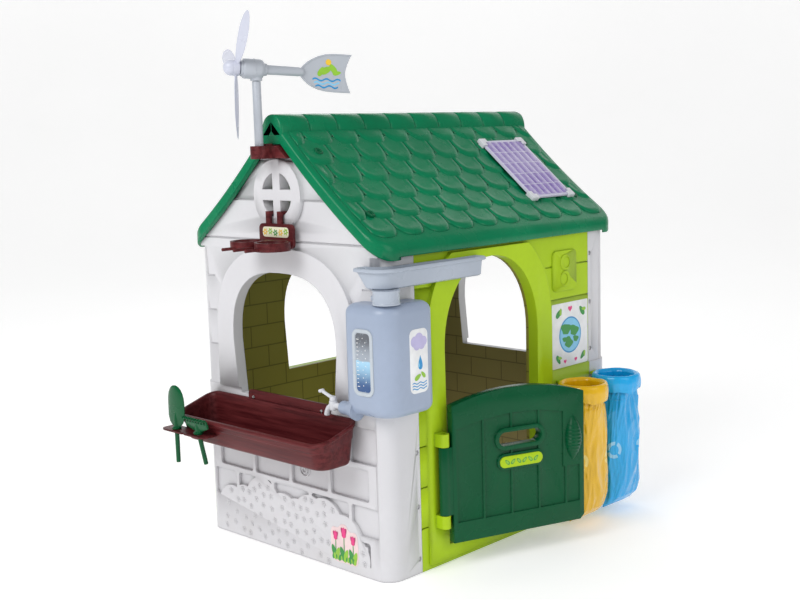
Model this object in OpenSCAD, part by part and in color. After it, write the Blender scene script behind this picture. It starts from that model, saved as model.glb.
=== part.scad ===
// Plastic playhouse: two gable walls, two side walls, a tiled roof, a half door,
// a planter, a rain collector, a bird feeder, a wind vane, a solar panel and two bags.
// The origin is the middle of the front wall's foot. The door side faces +X.

/* [House] */
// Width of the house across the gable
house_w = 720; // [600:10:870]
// Depth of the house from the front gable to the rear gable
house_d = 940; // [840:10:1130]
// Thickness of each wall panel
wall_t = 24; // [20:1:30]
// Height of the belt that runs round the house
belt_h = 425; // [420:1:430]
// How far the wall below the belt stands proud
belt_step = 4; // [2:0.5:6]
// Radius of the house's rounded corners
corner_r = 45; // [36:1:55]
// Length of the front gable's returns along the side walls
front_return = 116; // [110:1:124]
// Length of the rear gable's returns along the side walls
rear_return = 96; // [80:1:110]
// Gap at the seam between two wall panels
seam = 0.5; // [0.3:0.1:0.8]
// Width of the flanges behind the returns
flange_w = 34; // [24:1:44]
// Depth of the recessed bricks
brick_depth = 9; // [5:1:12]
// Width of the grooves between planks
groove_w = 4; // [3:0.5:6]
// How far raised surrounds and plaques stand proud
relief = 12; // [8:1:14]

/* [Roof] */
// Height of the top of the ridge
ridge_top = 1154; // [1100:2:1250]
// Height of the roof's surface at the eave
eave_top = 832; // [822:2:846]
// How far the eave stands out past the wall
eave_out = 12; // [8:1:24]
// Sag of the roof's surface between ridge and eave
roof_sag = 17; // [0:1:24]
// Thickness of the roof panels, measured upright
roof_t = 34; // [26:1:40]
// Overhang of the roof at the front
verge_front = 16; // [15:1:24]
// Overhang of the roof at the rear
verge_rear = 26; // [18:1:36]
// Height of the boards along the verges
verge_h = 40; // [36:1:46]
// Half of the width of the ridge roll
roll_half = 40; // [34:1:48]
// Wall of the ridge roll
roll_t = 7; // [5:0.5:9]
// Number of tile courses on each side
courses = 6; // [4:1:8]
// Thickness of a tile at its lower edge
tile_lip = 8; // [5:1:9]

/* [Windows] */
// Half of the width of the gable windows
win_half = 203; // [180:1:215]
// Height of the window sills
sill_h = 412; // [400:1:420]
// Height of the top of the gable windows
win_top = 750; // [720:2:764]
// Width of the raised band round the gable windows
band_w = 70; // [40:1:72]
// Height of the middle of the round window
oval_h = 950; // [946:1:956]
// Radius of the round window
oval_r = 57; // [50:1:60]
// Width of the raised ring round the round window
oval_band = 34; // [24:1:36]
// Width of the round window's bars
bar_w = 28; // [20:1:32]
// Half of the width of the side window
side_half = 200; // [170:1:220]

/* [Door] */
// Distance from the front face to the doorway
door_from_front = 209; // [200:1:220]
// Width of the doorway
door_w = 381; // [360:1:385]
// Height of the doorway
door_top = 776; // [740:2:782]
// Height of the threshold
threshold = 50; // [40:1:58]
// Width of the raised band round the doorway
door_band = 66; // [50:1:72]
// Width of the door leaf from the hinge axis
leaf_w = 412; // [400:1:440]
// Thickness of the door leaf
leaf_t = 26; // [20:1:28]
// Height of the door leaf's lower edge
leaf_low = 66; // [62:1:80]
// Height of the door leaf's sides
leaf_side = 414; // [400:1:430]
// Rise of the door leaf's arched top
leaf_rise = 35; // [20:1:45]
// Angle at which the door stands open
door_open = 20; // [5:1:60]
// Distance from the hinge axis to the wall
hinge_out = 27; // [26:1:34]
// Radius of the hinge pins
pin_r = 5; // [3:0.5:6]
// Radius of the hinge barrel and lugs
barrel_r = 14; // [12:0.5:14]
// Running clearance of the hinge pins
pin_clear = 0.05; // [0.02:0.01:0.1]

/* [Planter] */
// Length of the planter
planter_l = 580; // [500:10:600]
// Depth of the planter at its rim
planter_d = 130; // [100:1:150]
// Height of the planter's body
planter_h = 112; // [80:1:120]
// Wall of the planter
planter_t = 4; // [3:0.5:6]
// Slope of the planter's rim
planter_lean = 17; // [10:1:18]

/* [Rain collector] */
// How far the tank stands proud of the front wall
tank_out = 52; // [46:1:60]
// How far the tank stands proud of the side wall
tank_side_out = 64; // [60:1:70]
// Length of the tank along the front wall
tank_front = 90; // [80:1:94]
// Length of the tank along the side wall
tank_side = 113; // [90:1:130]
// Height of the tank's underside
tank_low = 428; // [426:1:440]
// Height of the tank's body
tank_h = 272; // [230:2:280]
// Wall of the tank
tank_t = 5; // [3:0.5:7]
// Height of the neck between the tank and the gutter
neck_h = 34; // [26:1:40]
// Length of the gutter along the front wall
gutter_front = 63; // [50:1:76]
// Length of the gutter along the side wall
gutter_side = 338; // [280:2:400]
// Height of the gutter
gutter_h = 50; // [36:1:52]

/* [Bird feeder] */
// Radius of each seed cup
cup_r = 38; // [32:1:42]
// Distance between the seed cups
cup_pitch = 96; // [92:1:106]
// Depth of the seed cups
cup_h = 22; // [16:1:30]

/* [Wind vane] */
// Distance from the front wall to the pole
pole_out = 57; // [54:1:66]
// Radius of the pole
pole_r = 11; // [9:0.5:13]
// Height of the turning head's axis
head_h = 1264; // [1220:2:1320]
// Angle at which the head is turned away from the front
head_turn = -27; // [-180:1:180]
// Upward tilt of the propeller's axis
head_tilt = 4; // [0:0.5:8]
// Length of a propeller blade from the axis
blade_l = 180; // [140:2:184]
// Twist of each blade about its own length
blade_pitch = 27; // [10:1:40]
// Radius of the vane's spindle
spindle_r = 6; // [5:0.5:7]

/* [Solar panel] */
// Length of the panel down the roof
solar_l = 246; // [200:2:260]
// Width of the panel along the roof
solar_w = 184; // [150:2:200]

/* [Bags] */
// Height of the bag rings
ring_h = 392; // [380:2:420]
// Radius of the bag rings
ring_r = 60; // [54:1:64]
// Distance between the two bags
bag_pitch = 162; // [158:1:180]
// Height of the bags' lower edge above the ground
bag_low = 14; // [8:1:60]

/* [Hidden] */
$fn = 64;
EPS = 0.01;
front_y = -wall_t / 2;
rear_y = front_y + house_d;
half_w = house_w / 2;
face_x = half_w - belt_step;
seat = 0.3;

// Roof surface: straight from ridge to eave, less a sag that is widest midway
roof_half = half_w + eave_out;
roof_peak = ridge_top - roll_t;
function roof_z(x) = roof_peak - (roof_peak - eave_top) * abs(x) / roof_half
                     - roof_sag * 4 * (abs(x) / roof_half) * (1 - abs(x) / roof_half);
function roof_under(x) = roof_z(x) - roof_t;
function roof_angle(x) = atan((roof_z(x - 5) - roof_z(x + 5)) / 10);
side_h = roof_under(half_w) - seat;

// Arches: a superellipse above a springing line
function arch(half, rise, power, steps) =
    [for (i = [0:steps]) let (a = 180 * i / steps)
        [half * sign(cos(a)) * pow(abs(cos(a)), 2 / power), rise * pow(sin(a), 2 / power)]];
function lift(points, up) = [for (p = points) [p[0], p[1] + up]];

door_mid = front_y + door_from_front + door_w / 2;
hinge_x = half_w + hinge_out;
hinge_y = front_y + door_from_front - 33;
hinge_lug_h = 34;
barrel_low = 141;
barrel_high = 316;
leaf_start = 18;
lug_gap = 1;
pole_y = front_y - pole_out;
lug_low = 1043;
lug_high = 1075;
bracket_seat = 6;
planter_top = 403;
rim_lip = 5;
planter_y = front_y - rim_lip - seat;
planter_screw_xs = [-110, 160];
planter_screw_z = 4.6;
planter_x = -20;
neck_x = half_w + 26;
neck_y = front_y - 12;
neck_r = 33;
neck_bore = 25;
socket_l = 24;
tap_z = tank_low + 10;
tap_y = front_y - tank_out / 2 - 7;
tap_x = half_w - tank_front - socket_l - 33;
ring_x = half_w + 80;
bag_y = front_y + 698;
solar_x = 190;
solar_y = front_y + 774;

// ---- shared outlines ----

// Rectangle from the front face backwards, with its two front corners rounded
module front_block(half, y0, y1, r) {
    translate([-half + r, y0]) square([2 * (half - r), y1 - y0]);
    translate([-half, y0 + r]) square([2 * half, y1 - y0 - r]);
    for (s = [-1, 1]) translate([s * (half - r), y0 + r]) circle(r);
}

// Plan of a gable panel with its two returns
module channel(inset, run) {
    difference() {
        front_block(half_w - inset, front_y + inset, front_y + run, corner_r - inset);
        front_block(half_w - wall_t, front_y + wall_t, front_y + run + 1, corner_r - wall_t);
    }
}

// Outside of the house above the belt, grown by a gap, for pieces that wrap its corner
module corner_clear(low, high, gap) {
    translate([0, 0, low]) linear_extrude(high - low)
        front_block(face_x + gap, front_y + belt_step - gap, rear_y, corner_r - belt_step + gap);
}

// Arched opening that leans in slightly below the springing line
module arch_shape(half, sill, spring, top, power, foot) {
    polygon(concat([[half - foot, sill]], lift(arch(half, top - spring, power, 28), spring),
                   [[-half + foot, sill]]));
}

module rounded(w, h, r) {
    for (x = [r, w - r], y = [r, h - r]) translate([x, y]) circle(r);
    translate([r, 0]) square([w - 2 * r, h]);
    translate([0, r]) square([w, h - 2 * r]);
}

// Draws a flat shape on the front face: X stays X and Y becomes height
module on_front(y, depth) {
    translate([0, y, 0]) rotate([90, 0, 0]) linear_extrude(depth) children();
}

// Draws a flat shape on the door side: X becomes distance along Y and Y becomes height
module on_side(x, depth) {
    translate([x, 0, 0]) rotate([90, 0, 90]) linear_extrude(depth) children();
}

// ---- gable walls ----

gable_win_spring = 560;
gable_win_rise = win_top - gable_win_spring;

module gable_window() {
    arch_shape(win_half, sill_h, gable_win_spring, win_top, 2.6, 14);
}

module gable_band() {
    arch_shape(win_half + band_w, belt_h, gable_win_spring, win_top + band_w - 6, 2.6, 0);
}

module gable_top() {
    reach = half_w - corner_r / 3;
    steps = 12;
    polygon(concat([[-reach, side_h - 1]],
                   [for (i = [-steps:steps]) let (x = reach * i / steps) [x, roof_under(x) - seat]],
                   [[reach, side_h - 1]]));
}

module gable_grooves() {
    plank = 95;
    for (i = [1:3]) translate([-half_w - 1, belt_h + 13 + i * plank])
        square([half_w - win_half - band_w - 14, groove_w]);
    for (i = [1:3]) translate([win_half + band_w + 16, belt_h + 13 + i * plank])
        square([half_w - win_half - band_w - 14, groove_w]);
    for (h = [829, 934, 1036]) translate([-half_w, h]) square([house_w, groove_w]);
}

// Recessed bricks of the lower wall, in four rows that are offset by half a brick
brick_rows = [[292, 92], [196, 82], [104, 78], [24, 66]];
brick_w = 138;
brick_gap = 12;
module gable_bricks() {
    reach = half_w - corner_r + 9;
    for (row = [0:3], i = [-3:3]) {
        start = i * (brick_w + brick_gap) + (row % 2) * (brick_w + brick_gap) / 2 - brick_w / 2;
        left = max(start, -reach);
        right = min(start + brick_w, reach);
        if (right - left > 24) translate([left, brick_rows[row][0]])
            rounded(right - left, brick_rows[row][1], 7);
    }
}

// Bush in front of the bricks, flush with the house's corners
bush_lobes = [[-250, 78, 62], [-196, 92, 58], [-120, 116, 70], [-34, 92, 66], [22, 92, 62],
              [72, 112, 62], [128, 108, 68], [196, 78, 68], [238, 42, 54], [252, 10, 44]];
module gable_bush() {
    for (lobe = bush_lobes) translate([lobe[0], lobe[1]]) circle(lobe[2]);
    translate([-300, 0]) square([585, 80]);
}

module round_window() {
    translate([0, oval_h]) difference() {
        circle(oval_r);
        square([bar_w, 3 * oval_r], center = true);
        square([3 * oval_r, bar_w], center = true);
    }
}

// run is the length of the returns; bush adds the front gable's relief
module gable_wall(run, bush) {
    difference() {
        union() {
            linear_extrude(belt_h) channel(0, run);
            translate([0, 0, belt_h - EPS]) linear_extrude(side_h - belt_h + EPS)
                channel(belt_step, run);
            on_front(front_y + wall_t, wall_t - belt_step) gable_top();
            on_front(front_y + belt_step + 1, relief + belt_step - 3) gable_band();
            on_front(front_y + belt_step + 1, relief + belt_step - 3)
                translate([0, oval_h]) circle(oval_r + oval_band);
        }
        on_front(front_y + wall_t + 1, wall_t + relief + 2) gable_window();
        on_front(front_y + wall_t + 1, wall_t + relief + 2) round_window();
        on_front(front_y + belt_step + 2, belt_step + 2) difference() {
            gable_grooves();
            gable_band();
            translate([0, oval_h]) circle(oval_r + oval_band);
        }
        on_front(front_y + brick_depth, brick_depth + 1) difference() {
            gable_bricks();
            if (bush) gable_bush();
        }
        for (s = [-1, 1], z = screw_heights) return_screw_hole(s, run, z);
        if (bush) for (x = planter_screw_xs)
            translate([planter_x + x, front_y - 1, planter_top + planter_screw_z])
                rotate([-90, 0, 0]) cylinder(r = 2.5, h = 21);
    }
}

screw_heights = [38, 173, 312, 463, 600, 741];
screw_inset = 9;
function screw_face(z) = z > belt_h ? face_x : half_w;
module return_screw_hole(side, run, z) {
    translate([side * screw_face(z), front_y + run - screw_inset, z]) rotate([0, -90 * side, 0]) {
        translate([0, 0, -1]) cylinder(r = 6, h = 6);
        cylinder(r = 2.6, h = wall_t + 1);
    }
}

// Moves a piece made for the front gable to the rear gable
module to_rear() {
    translate([0, rear_y + front_y, 0]) mirror([0, 1, 0]) children();
}

module front_wall() {
    color("ivory") gable_wall(front_return, true);
}

module back_wall() {
    color("ivory") to_rear() gable_wall(rear_return, false);
}

// ---- side walls ----

side_start = front_y + front_return + seam;
side_end = rear_y - rear_return - seam;
flange_t = 8;

module doorway() {
    translate([door_mid, 0])
        arch_shape(door_w / 2, threshold, 556, door_top, 2.1, 4);
}

module door_band_shape() {
    translate([door_mid, 0]) {
        intersection() {
            arch_shape(door_w / 2 + door_band, 12, 556, door_top + door_band, 2.3, 0);
            translate([-house_d, 0]) square([2 * house_d, side_h - 8]);
        }
    }
}

module side_grooves() {
    for (z = [533, 622, 716]) {
        translate([side_start - 1, z]) square([60, groove_w]);
        translate([side_end - 200, z]) square([201, groove_w]);
    }
    for (z = [110, 215, 320]) {
        translate([side_start - 1, z]) square([40, groove_w]);
        translate([side_end - 210, z]) square([211, groove_w]);
    }
}

// Plate with flanges that lie behind the gable walls' returns
module side_plate() {
    translate([half_w - wall_t, side_start, 0]) cube([wall_t, side_end - side_start, belt_h]);
    translate([half_w - wall_t, side_start, belt_h - EPS])
        cube([wall_t - belt_step, side_end - side_start, side_h - belt_h]);
    translate([half_w - wall_t - seam - flange_t, side_start - flange_w, 4])
        cube([flange_t, side_end - side_start + 2 * flange_w, side_h - 12]);
    translate([half_w - wall_t - seam - 1, side_start, 4])
        cube([seam + 2, side_end - side_start, side_h - 12]);
}

module flange_screw_holes() {
    for (z = screw_heights, y = [front_y + front_return - screw_inset,
                                 rear_y - rear_return + screw_inset])
        translate([half_w - wall_t - flange_t - 5, y, z]) rotate([0, 90, 0])
            cylinder(r = 2.6, h = flange_t + 10);
}

door_relief = relief + 4;
band_face = face_x - belt_step + door_relief;
plaque_y = front_y + 673;
plaque_z = 647;
plaque_w = 110;
plaque_h = 113;

module right_wall() {
    color("yellowgreen") difference() {
        union() {
            side_plate();
            on_side(face_x - 1, band_face - face_x + 1) door_band_shape();
            on_side(face_x - 1, 5) translate([plaque_y, plaque_z])
                rounded(plaque_w, plaque_h, 16);
            on_side(face_x + 3, 3) translate([plaque_y + plaque_w / 2, plaque_z + plaque_h / 2])
                plaque_leaf();
            for (z = [barrel_low - hinge_lug_h - lug_gap, barrel_high + lug_gap]) hinge_lug(z);
        }
        on_side(half_w - wall_t - 20, wall_t + 60) doorway();
        on_side(face_x - 3, belt_step + 4) difference() {
            side_grooves();
            door_band_shape();
            translate([plaque_y, plaque_z]) rounded(plaque_w, plaque_h, 16);
        }
        flange_screw_holes();
        for (z = [barrel_low - hinge_lug_h - lug_gap, barrel_high + lug_gap])
            translate([hinge_x, hinge_y, z - 1]) cylinder(r = pin_r + pin_clear, h = hinge_lug_h + 2);
    }
}

// Leaf motif of the plaque: two mirrored crescents
module plaque_leaf() {
    for (s = [-1, 1]) translate([0, s * 23]) difference() {
        circle(22);
        translate([s * 5, 0]) circle(16);
    }
}

module hinge_lug(z) {
    translate([hinge_x, hinge_y, z]) cylinder(r = barrel_r, h = hinge_lug_h);
    translate([half_w - 4, hinge_y - barrel_r, z])
        cube([hinge_out + 4, barrel_r * 2, hinge_lug_h]);
}

module side_window() {
    translate([(side_start + side_end) / 2, 0])
        arch_shape(side_half, sill_h, 560, win_top, 2.6, 10);
}

module left_wall() {
    color("yellowgreen") mirror([1, 0, 0]) difference() {
        union() {
            side_plate();
            on_side(face_x - 1, relief - belt_step + 1) intersection() {
                translate([(side_start + side_end) / 2, 0])
                    arch_shape(side_half + band_w, belt_h, 560, win_top + band_w, 2.6, 0);
                translate([0, 0]) square([house_d, side_h - 8]);
            }
        }
        on_side(half_w - wall_t - 20, wall_t + 60) side_window();
        on_side(face_x - 3, belt_step + 4) difference() {
            side_grooves();
            translate([(side_start + side_end) / 2, 0])
                arch_shape(side_half + band_w, belt_h, 560, win_top + band_w, 2.6, 0);
        }
        on_side(half_w - brick_depth, brick_depth + 1)
            for (row = [0:2], i = [0:3]) {
                start = side_start + 22 + i * 175 + (row % 2) * 40;
                if (start + 150 < side_end) translate([start, 40 + row * 120])
                    rounded(150, 98, 8);
            }
        flange_screw_holes();
    }
}

// Screws of the wall panels: heads in the returns' pockets, shanks into the flanges
module wall_screws() {
    color("lightgrey") for (side = [-1, 1], z = screw_heights,
                            y = [front_y + front_return - screw_inset,
                                 rear_y - rear_return + screw_inset])
        translate([side * (screw_face(z) - 5), y, z]) rotate([0, -90 * side, 0]) {
            translate([0, 0, -3]) cylinder(r = 5, h = 3);
            translate([0, 0, -EPS]) cylinder(r = 2.3, h = wall_t + flange_t - 12);
        }
}

// ---- roof ----

roof_front = front_y - verge_front;
roof_rear = rear_y + verge_rear;
verge_t = verge_front - 1;

function course_x(i) = roll_half + 4 + (roof_half - 16 - roll_half - 4) * i / courses;

// Section of the right roof panel: stepped courses above, a smooth curve below
module roof_section() {
    tops = [for (i = [0:courses - 1]) each [
        [course_x(i), roof_z(course_x(i)) + 1.5],
        [course_x(i + 1), roof_z(course_x(i + 1)) + tile_lip]]];
    under = [for (i = [0:10]) let (x = roof_half - (roof_half - seam) * i / 10)
        [x, roof_under(x)]];
    polygon(concat([[seam, roof_z(seam)]], tops,
                   [[course_x(courses), roof_z(course_x(courses)) + 2],
                    [roof_half - 5, roof_z(roof_half - 5) + 2],
                    [roof_half, roof_z(roof_half) - 4]], under));
}

// Board along a verge, under the edge of the roof's surface
module verge_section() {
    steps = 10;
    from = roll_half - 6;
    polygon(concat([for (i = [0:steps]) let (x = from + (roof_half - from) * i / steps)
                       [x, roof_z(x) - 3]],
                   [for (i = [steps:-1:0]) let (x = from + (roof_half - from) * i / steps)
                       [x, roof_z(x) - verge_h]]));
}

// Ridge roll that laps over the top edge of the left panel
module roll_section() {
    base = roof_z(roll_half) + seam + roll_t;
    outer = lift(arch(roll_half, ridge_top - base, 2.3, 24), base);
    polygon(concat([[roll_half, roof_z(roll_half) - 2]], outer,
                   [[-roll_half, roof_z(roll_half) + 2], [0, roof_peak + seam],
                    [seam, roof_peak - 4]]));
}

module roof_half_panel() {
    translate([0, roof_rear, 0]) rotate([90, 0, 0])
        linear_extrude(roof_rear - roof_front) roof_section();
    translate([0, roof_front + verge_t, 0]) rotate([90, 0, 0])
        linear_extrude(verge_t) verge_section();
    translate([0, roof_rear, 0]) rotate([90, 0, 0])
        linear_extrude(verge_t) verge_section();
}

roof_screw_xs = [97, 277];
roof_screw_ys = [front_y + 52, rear_y - 52];
module at_roof_screw(x, y) {
    translate([x, y, roof_z(x) + 3]) rotate([0, roof_angle(x), 0]) children();
}

module roof_screw_holes() {
    for (x = roof_screw_xs, y = roof_screw_ys) at_roof_screw(x, y) {
        translate([0, 0, -2]) cylinder(r = 12.5, h = 20);
        translate([0, 0, -20]) cylinder(r = 3.3, h = 30);
    }
}

module ridge_screw_holes() {
    for (y = ridge_screw_ys) translate([-18, y, 0]) {
        translate([0, 0, ridge_top - 9]) cylinder(r = 8, h = 20);
        translate([0, 0, roof_z(18) - 16]) cylinder(r = 2.8, h = 60);
    }
}

ridge_screw_ys = [front_y + 52, front_y + house_d / 2, rear_y - 52];

module roof_right() {
    color("seagreen") difference() {
        union() {
            roof_half_panel();
            translate([0, roof_rear, 0]) rotate([90, 0, 0])
                linear_extrude(roof_rear - roof_front) roll_section();
            for (y = [roof_front, roof_rear - verge_t])
                translate([-roll_half + 6, y, lug_high + 1])
                    cube([2 * roll_half - 8, verge_t, roof_z(roll_half) - lug_high + 2]);
        }
        roof_screw_holes();
        ridge_screw_holes();
    }
}

module roof_left() {
    color("seagreen") difference() {
        mirror([1, 0, 0]) difference() {
            roof_half_panel();
            roof_screw_holes();
            for (y = [roof_front - 1, roof_rear - verge_t - seam])
                translate([-roll_half, y, lug_high - 20])
                    cube([2 * roll_half - 6 + seam, verge_t + seam + 1, 90]);
        }
        ridge_screw_holes();
    }
}

module roof_screws() {
    color("darkgreen") {
        for (x = roof_screw_xs, y = roof_screw_ys, side = [0, 1]) mirror([side, 0, 0])
            at_roof_screw(x, y) {
                translate([0, 0, -2]) cylinder(r = 12, h = 3.5);
                translate([0, 0, -18]) cylinder(r = 3, h = 17);
            }
        for (y = ridge_screw_ys) translate([-18, y, 0]) {
            translate([0, 0, ridge_top - 9]) cylinder(r = 7, h = 3);
            translate([0, 0, roof_z(18) - 14]) cylinder(r = 2.5, h = ridge_top - 8 - roof_z(18) + 14);
        }
    }
}

// ---- door ----

// The leaf is drawn along +Y from the hinge axis, as it lies when the door is shut
module door_place() {
    translate([hinge_x, hinge_y, 0]) rotate([0, 0, -door_open]) children();
}

leaf_edge_r = 12;
function leaf_top_z(s) = leaf_side + leaf_rise * (1 - pow((2 * s - leaf_w) / leaf_w, 2));

module leaf_outline() {
    steps = 20;
    polygon(concat([[leaf_start, leaf_low], [leaf_w - leaf_edge_r, leaf_low],
                    [leaf_w, leaf_low + leaf_edge_r]],
                   [for (i = [steps:-1:0]) let (s = leaf_start + (leaf_w - leaf_start) * i / steps)
                       [s, leaf_top_z(s)]]));
}

slot_s = 215;
slot_z = 316;
slot_w = 128;
slot_h = 36;
plaque_s = 216;
door_plaque_z = 256;
door_plaque_w = 128;
door_plaque_h = 30;

module stadium(w, h) {
    square([w - h, h], center = true);
    for (s = [-1, 1]) translate([s * (w - h) / 2, 0]) circle(h / 2);
}

// Draws a flat shape in the door's plane, from x outwards
module on_door(x, depth) {
    translate([x, 0, 0]) rotate([90, 0, 90]) linear_extrude(depth) children();
}

module leaf_panels() {
    gap = 3;
    pitch = (leaf_w - 80) / 4;
    for (i = [0:4]) {
        s0 = i == 0 ? leaf_start + 12 : 24 + i * pitch + gap;
        s1 = i == 4 ? leaf_w - 14 : 24 + (i + 1) * pitch - gap;
        polygon([[s0, leaf_low + 52], [s1, leaf_low + 52],
                 [s1, leaf_top_z(s1) - 66], [s0, leaf_top_z(s0) - 66]]);
    }
}

module door_leaf() {
    color("darkgreen") door_place() difference() {
        union() {
            on_door(-leaf_t / 2, leaf_t) leaf_outline();
            on_door(leaf_t / 2 - 1, 5) translate([slot_s, slot_z]) stadium(slot_w + 22, slot_h + 22);
            on_door(leaf_t / 2 - 1, 4) translate([plaque_s, door_plaque_z])
                stadium(door_plaque_w + 12, door_plaque_h + 12);
            translate([0, 0, barrel_low]) cylinder(r = barrel_r, h = barrel_high - barrel_low);
            translate([-barrel_r + 2, 0, barrel_low])
                cube([2 * barrel_r - 4, leaf_start + 4, barrel_high - barrel_low]);
            translate([leaf_t / 2 - 2, grip_s, grip_z]) grip();
        }
        for (side = [0, 1]) mirror([side, 0, 0])
            on_door(leaf_t / 2 - 4, 5) difference() {
                leaf_panels();
                translate([slot_s, slot_z]) stadium(slot_w + 22, slot_h + 22);
                translate([plaque_s, door_plaque_z]) stadium(door_plaque_w + 12, door_plaque_h + 12);
                translate([grip_s, grip_z]) square([60, 150], center = true);
            }
        on_door(-leaf_t, 2 * leaf_t) translate([slot_s, slot_z]) stadium(slot_w, slot_h);
        translate([0, 0, barrel_low - 1]) cylinder(r = pin_r + pin_clear, h = barrel_high - barrel_low + 2);
    }
}

// Bulging grip near the door's free edge: the front of a spindle that stands upright
grip_s = leaf_w - 35;
grip_z = 292;
grip_r = 24;
grip_half = 62;
module grip() {
    arc_r = (grip_r * grip_r + grip_half * grip_half) / (2 * grip_r);
    intersection() {
        rotate_extrude() intersection() {
            translate([grip_r - arc_r, 0]) circle(arc_r);
            translate([0, -grip_half]) square([grip_r, 2 * grip_half]);
        }
        translate([-4, -grip_r - 1, -grip_half - 1])
            cube([grip_r + 5, 2 * grip_r + 2, 2 * grip_half + 2]);
    }
}

module hinge_pins() {
    color("silver") translate([hinge_x, hinge_y, 0]) {
        for (z = [barrel_low - hinge_lug_h - lug_gap + 4, barrel_high - 30])
            translate([0, 0, z]) cylinder(r = pin_r, h = hinge_lug_h + 28);
    }
}

module door_plaque() {
    color("limegreen") door_place()
        on_door(leaf_t / 2 + 3, 3) translate([plaque_s, door_plaque_z])
            stadium(door_plaque_w, door_plaque_h);
}

// ---- planter and tools ----

planter_drop = planter_d * tan(planter_lean);
planter_foot = 18;

module planter_place() {
    translate([planter_x, planter_y, planter_top]) children();
}

// Section across the planter: its top slopes down to the front and its base is level
module trough_section(inset) {
    over = inset > 0 ? 14 : -3;
    polygon([[-inset, over], [-inset - 5, -planter_h + inset],
             [-planter_d + planter_foot + inset, -planter_h + inset],
             [-planter_d + inset, over - planter_drop]]);
}

module planter_block(inset) {
    translate([-planter_l / 2 + inset, 0, 0]) rotate([90, 0, 90])
        linear_extrude(planter_l - 2 * inset) trough_section(inset);
}

// Flange round the rim, in a sloping section that stays in front of the wall
module planter_rim() {
    slope = tan(planter_lean);
    front = -planter_d - rim_lip;
    translate([-planter_l / 2 - rim_lip, 0, 0]) rotate([90, 0, 90])
        linear_extrude(planter_l + 2 * rim_lip)
            polygon([[rim_lip, rim_lip * slope - 8], [rim_lip, rim_lip * slope],
                     [front, front * slope], [front, front * slope - 8]]);
}

tab_y = -planter_d - rim_lip - 14;
tab_z = -0.68 * planter_h;
tab_t = 6;
tab_reach = 18;
tab_back = -planter_d + planter_t / 2
           - planter_foot * (tab_z + tab_t / 2 + planter_drop) / (planter_h - planter_drop);
tool_xs = [-planter_l / 2 + 30, -planter_l / 2 + 128];

module planter() {
    color("saddlebrown") difference() {
        union() {
            planter_place() planter_block(0);
            planter_place() planter_rim();
            planter_place() translate([-133, rim_lip - 6, -8]) cube([320, 6, 32]);
            planter_place() translate([-planter_l / 2 - 20, tab_y - tab_reach, tab_z - tab_t])
                cube([187, tab_back - tab_y + tab_reach, tab_t]);
        }
        planter_place() planter_block(planter_t);
        planter_place() for (x = tool_xs) translate([x, tab_y, tab_z - 10])
            cylinder(r = 10, h = 20);
        planter_place() for (x = planter_screw_xs)
            translate([x, rim_lip + 1, planter_screw_z]) rotate([90, 0, 0]) cylinder(r = 2.5, h = 10);
    }
}

module planter_screws() {
    color("silver") planter_place() for (x = planter_screw_xs)
        translate([x, rim_lip - 9, planter_screw_z]) rotate([-90, 0, 0]) {
            cylinder(r = 4.5, h = 3);
            cylinder(r = 2.2, h = 24);
        }
}

trowel_half = 36;
module trowel() {
    color("green") planter_place() translate([tool_xs[0], tab_y, tab_z]) {
        translate([0, 0, -92]) cylinder(r = 6, h = 100);
        translate([0, 0, seat]) cylinder(r = 13, h = 5);
        translate([0, 2.5, 0]) rotate([90, 0, 0]) linear_extrude(5)
            polygon(concat([[7, 2], [27, 12], [trowel_half, 34]],
                           lift(arch(trowel_half, 47, 2.2, 16), 72),
                           [[-trowel_half, 34], [-27, 12], [-7, 2]]));
    }
}

rake_lean = 12;
rake_shoulder = 14;
rake_head = 46;
module rake() {
    color("green") planter_place() translate([tool_xs[1], tab_y, tab_z])
        translate([0, 0, rake_shoulder * sin(rake_lean) + seat]) rotate([rake_lean, 0, 0]) {
            translate([0, 0, -90]) cylinder(r = 6, h = 100);
            cylinder(r = rake_shoulder, h = 5);
            translate([0, 2.5, 0]) rotate([90, 0, 0]) linear_extrude(5) difference() {
                polygon([[-7, 2], [-rake_head, 20], [-rake_head, 40], [rake_head, 40],
                         [rake_head, 20], [7, 2]]);
                for (i = [-3:3]) translate([i * 11 - 2, 22]) square([4, 20]);
            }
        }
}

// ---- rain collector ----

tank_r = 42;
module tank_plan(inset) {
    x1 = half_w + tank_side_out - inset;
    y1 = front_y - tank_out + inset;
    r = tank_r - inset;
    translate([half_w - tank_front + inset, y1])
        square([tank_front + tank_side_out - 2 * inset - r, tank_out + wall_t]);
    translate([half_w - wall_t, y1 + r])
        square([tank_side_out + wall_t - inset, tank_side + tank_out - 2 * inset - r]);
    translate([x1 - r, y1 + r]) circle(r);
}

// Space round the doorway's raised band, for the gutter that passes over it
module band_clear(low, high, gap) {
    translate([half_w - wall_t, door_mid - door_w / 2 - door_band - gap, low])
        cube([band_face - half_w + wall_t + gap, house_d, high - low]);
}

// Space round the front window's raised band, for the tank that laps its edge
module front_band_clear(gap) {
    on_front(front_y + belt_step + 1, relief + 1 + gap)
        arch_shape(win_half + band_w + gap, belt_h - gap, gable_win_spring,
                   win_top + band_w - 6 + gap, 2.6, 0);
}

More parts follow.
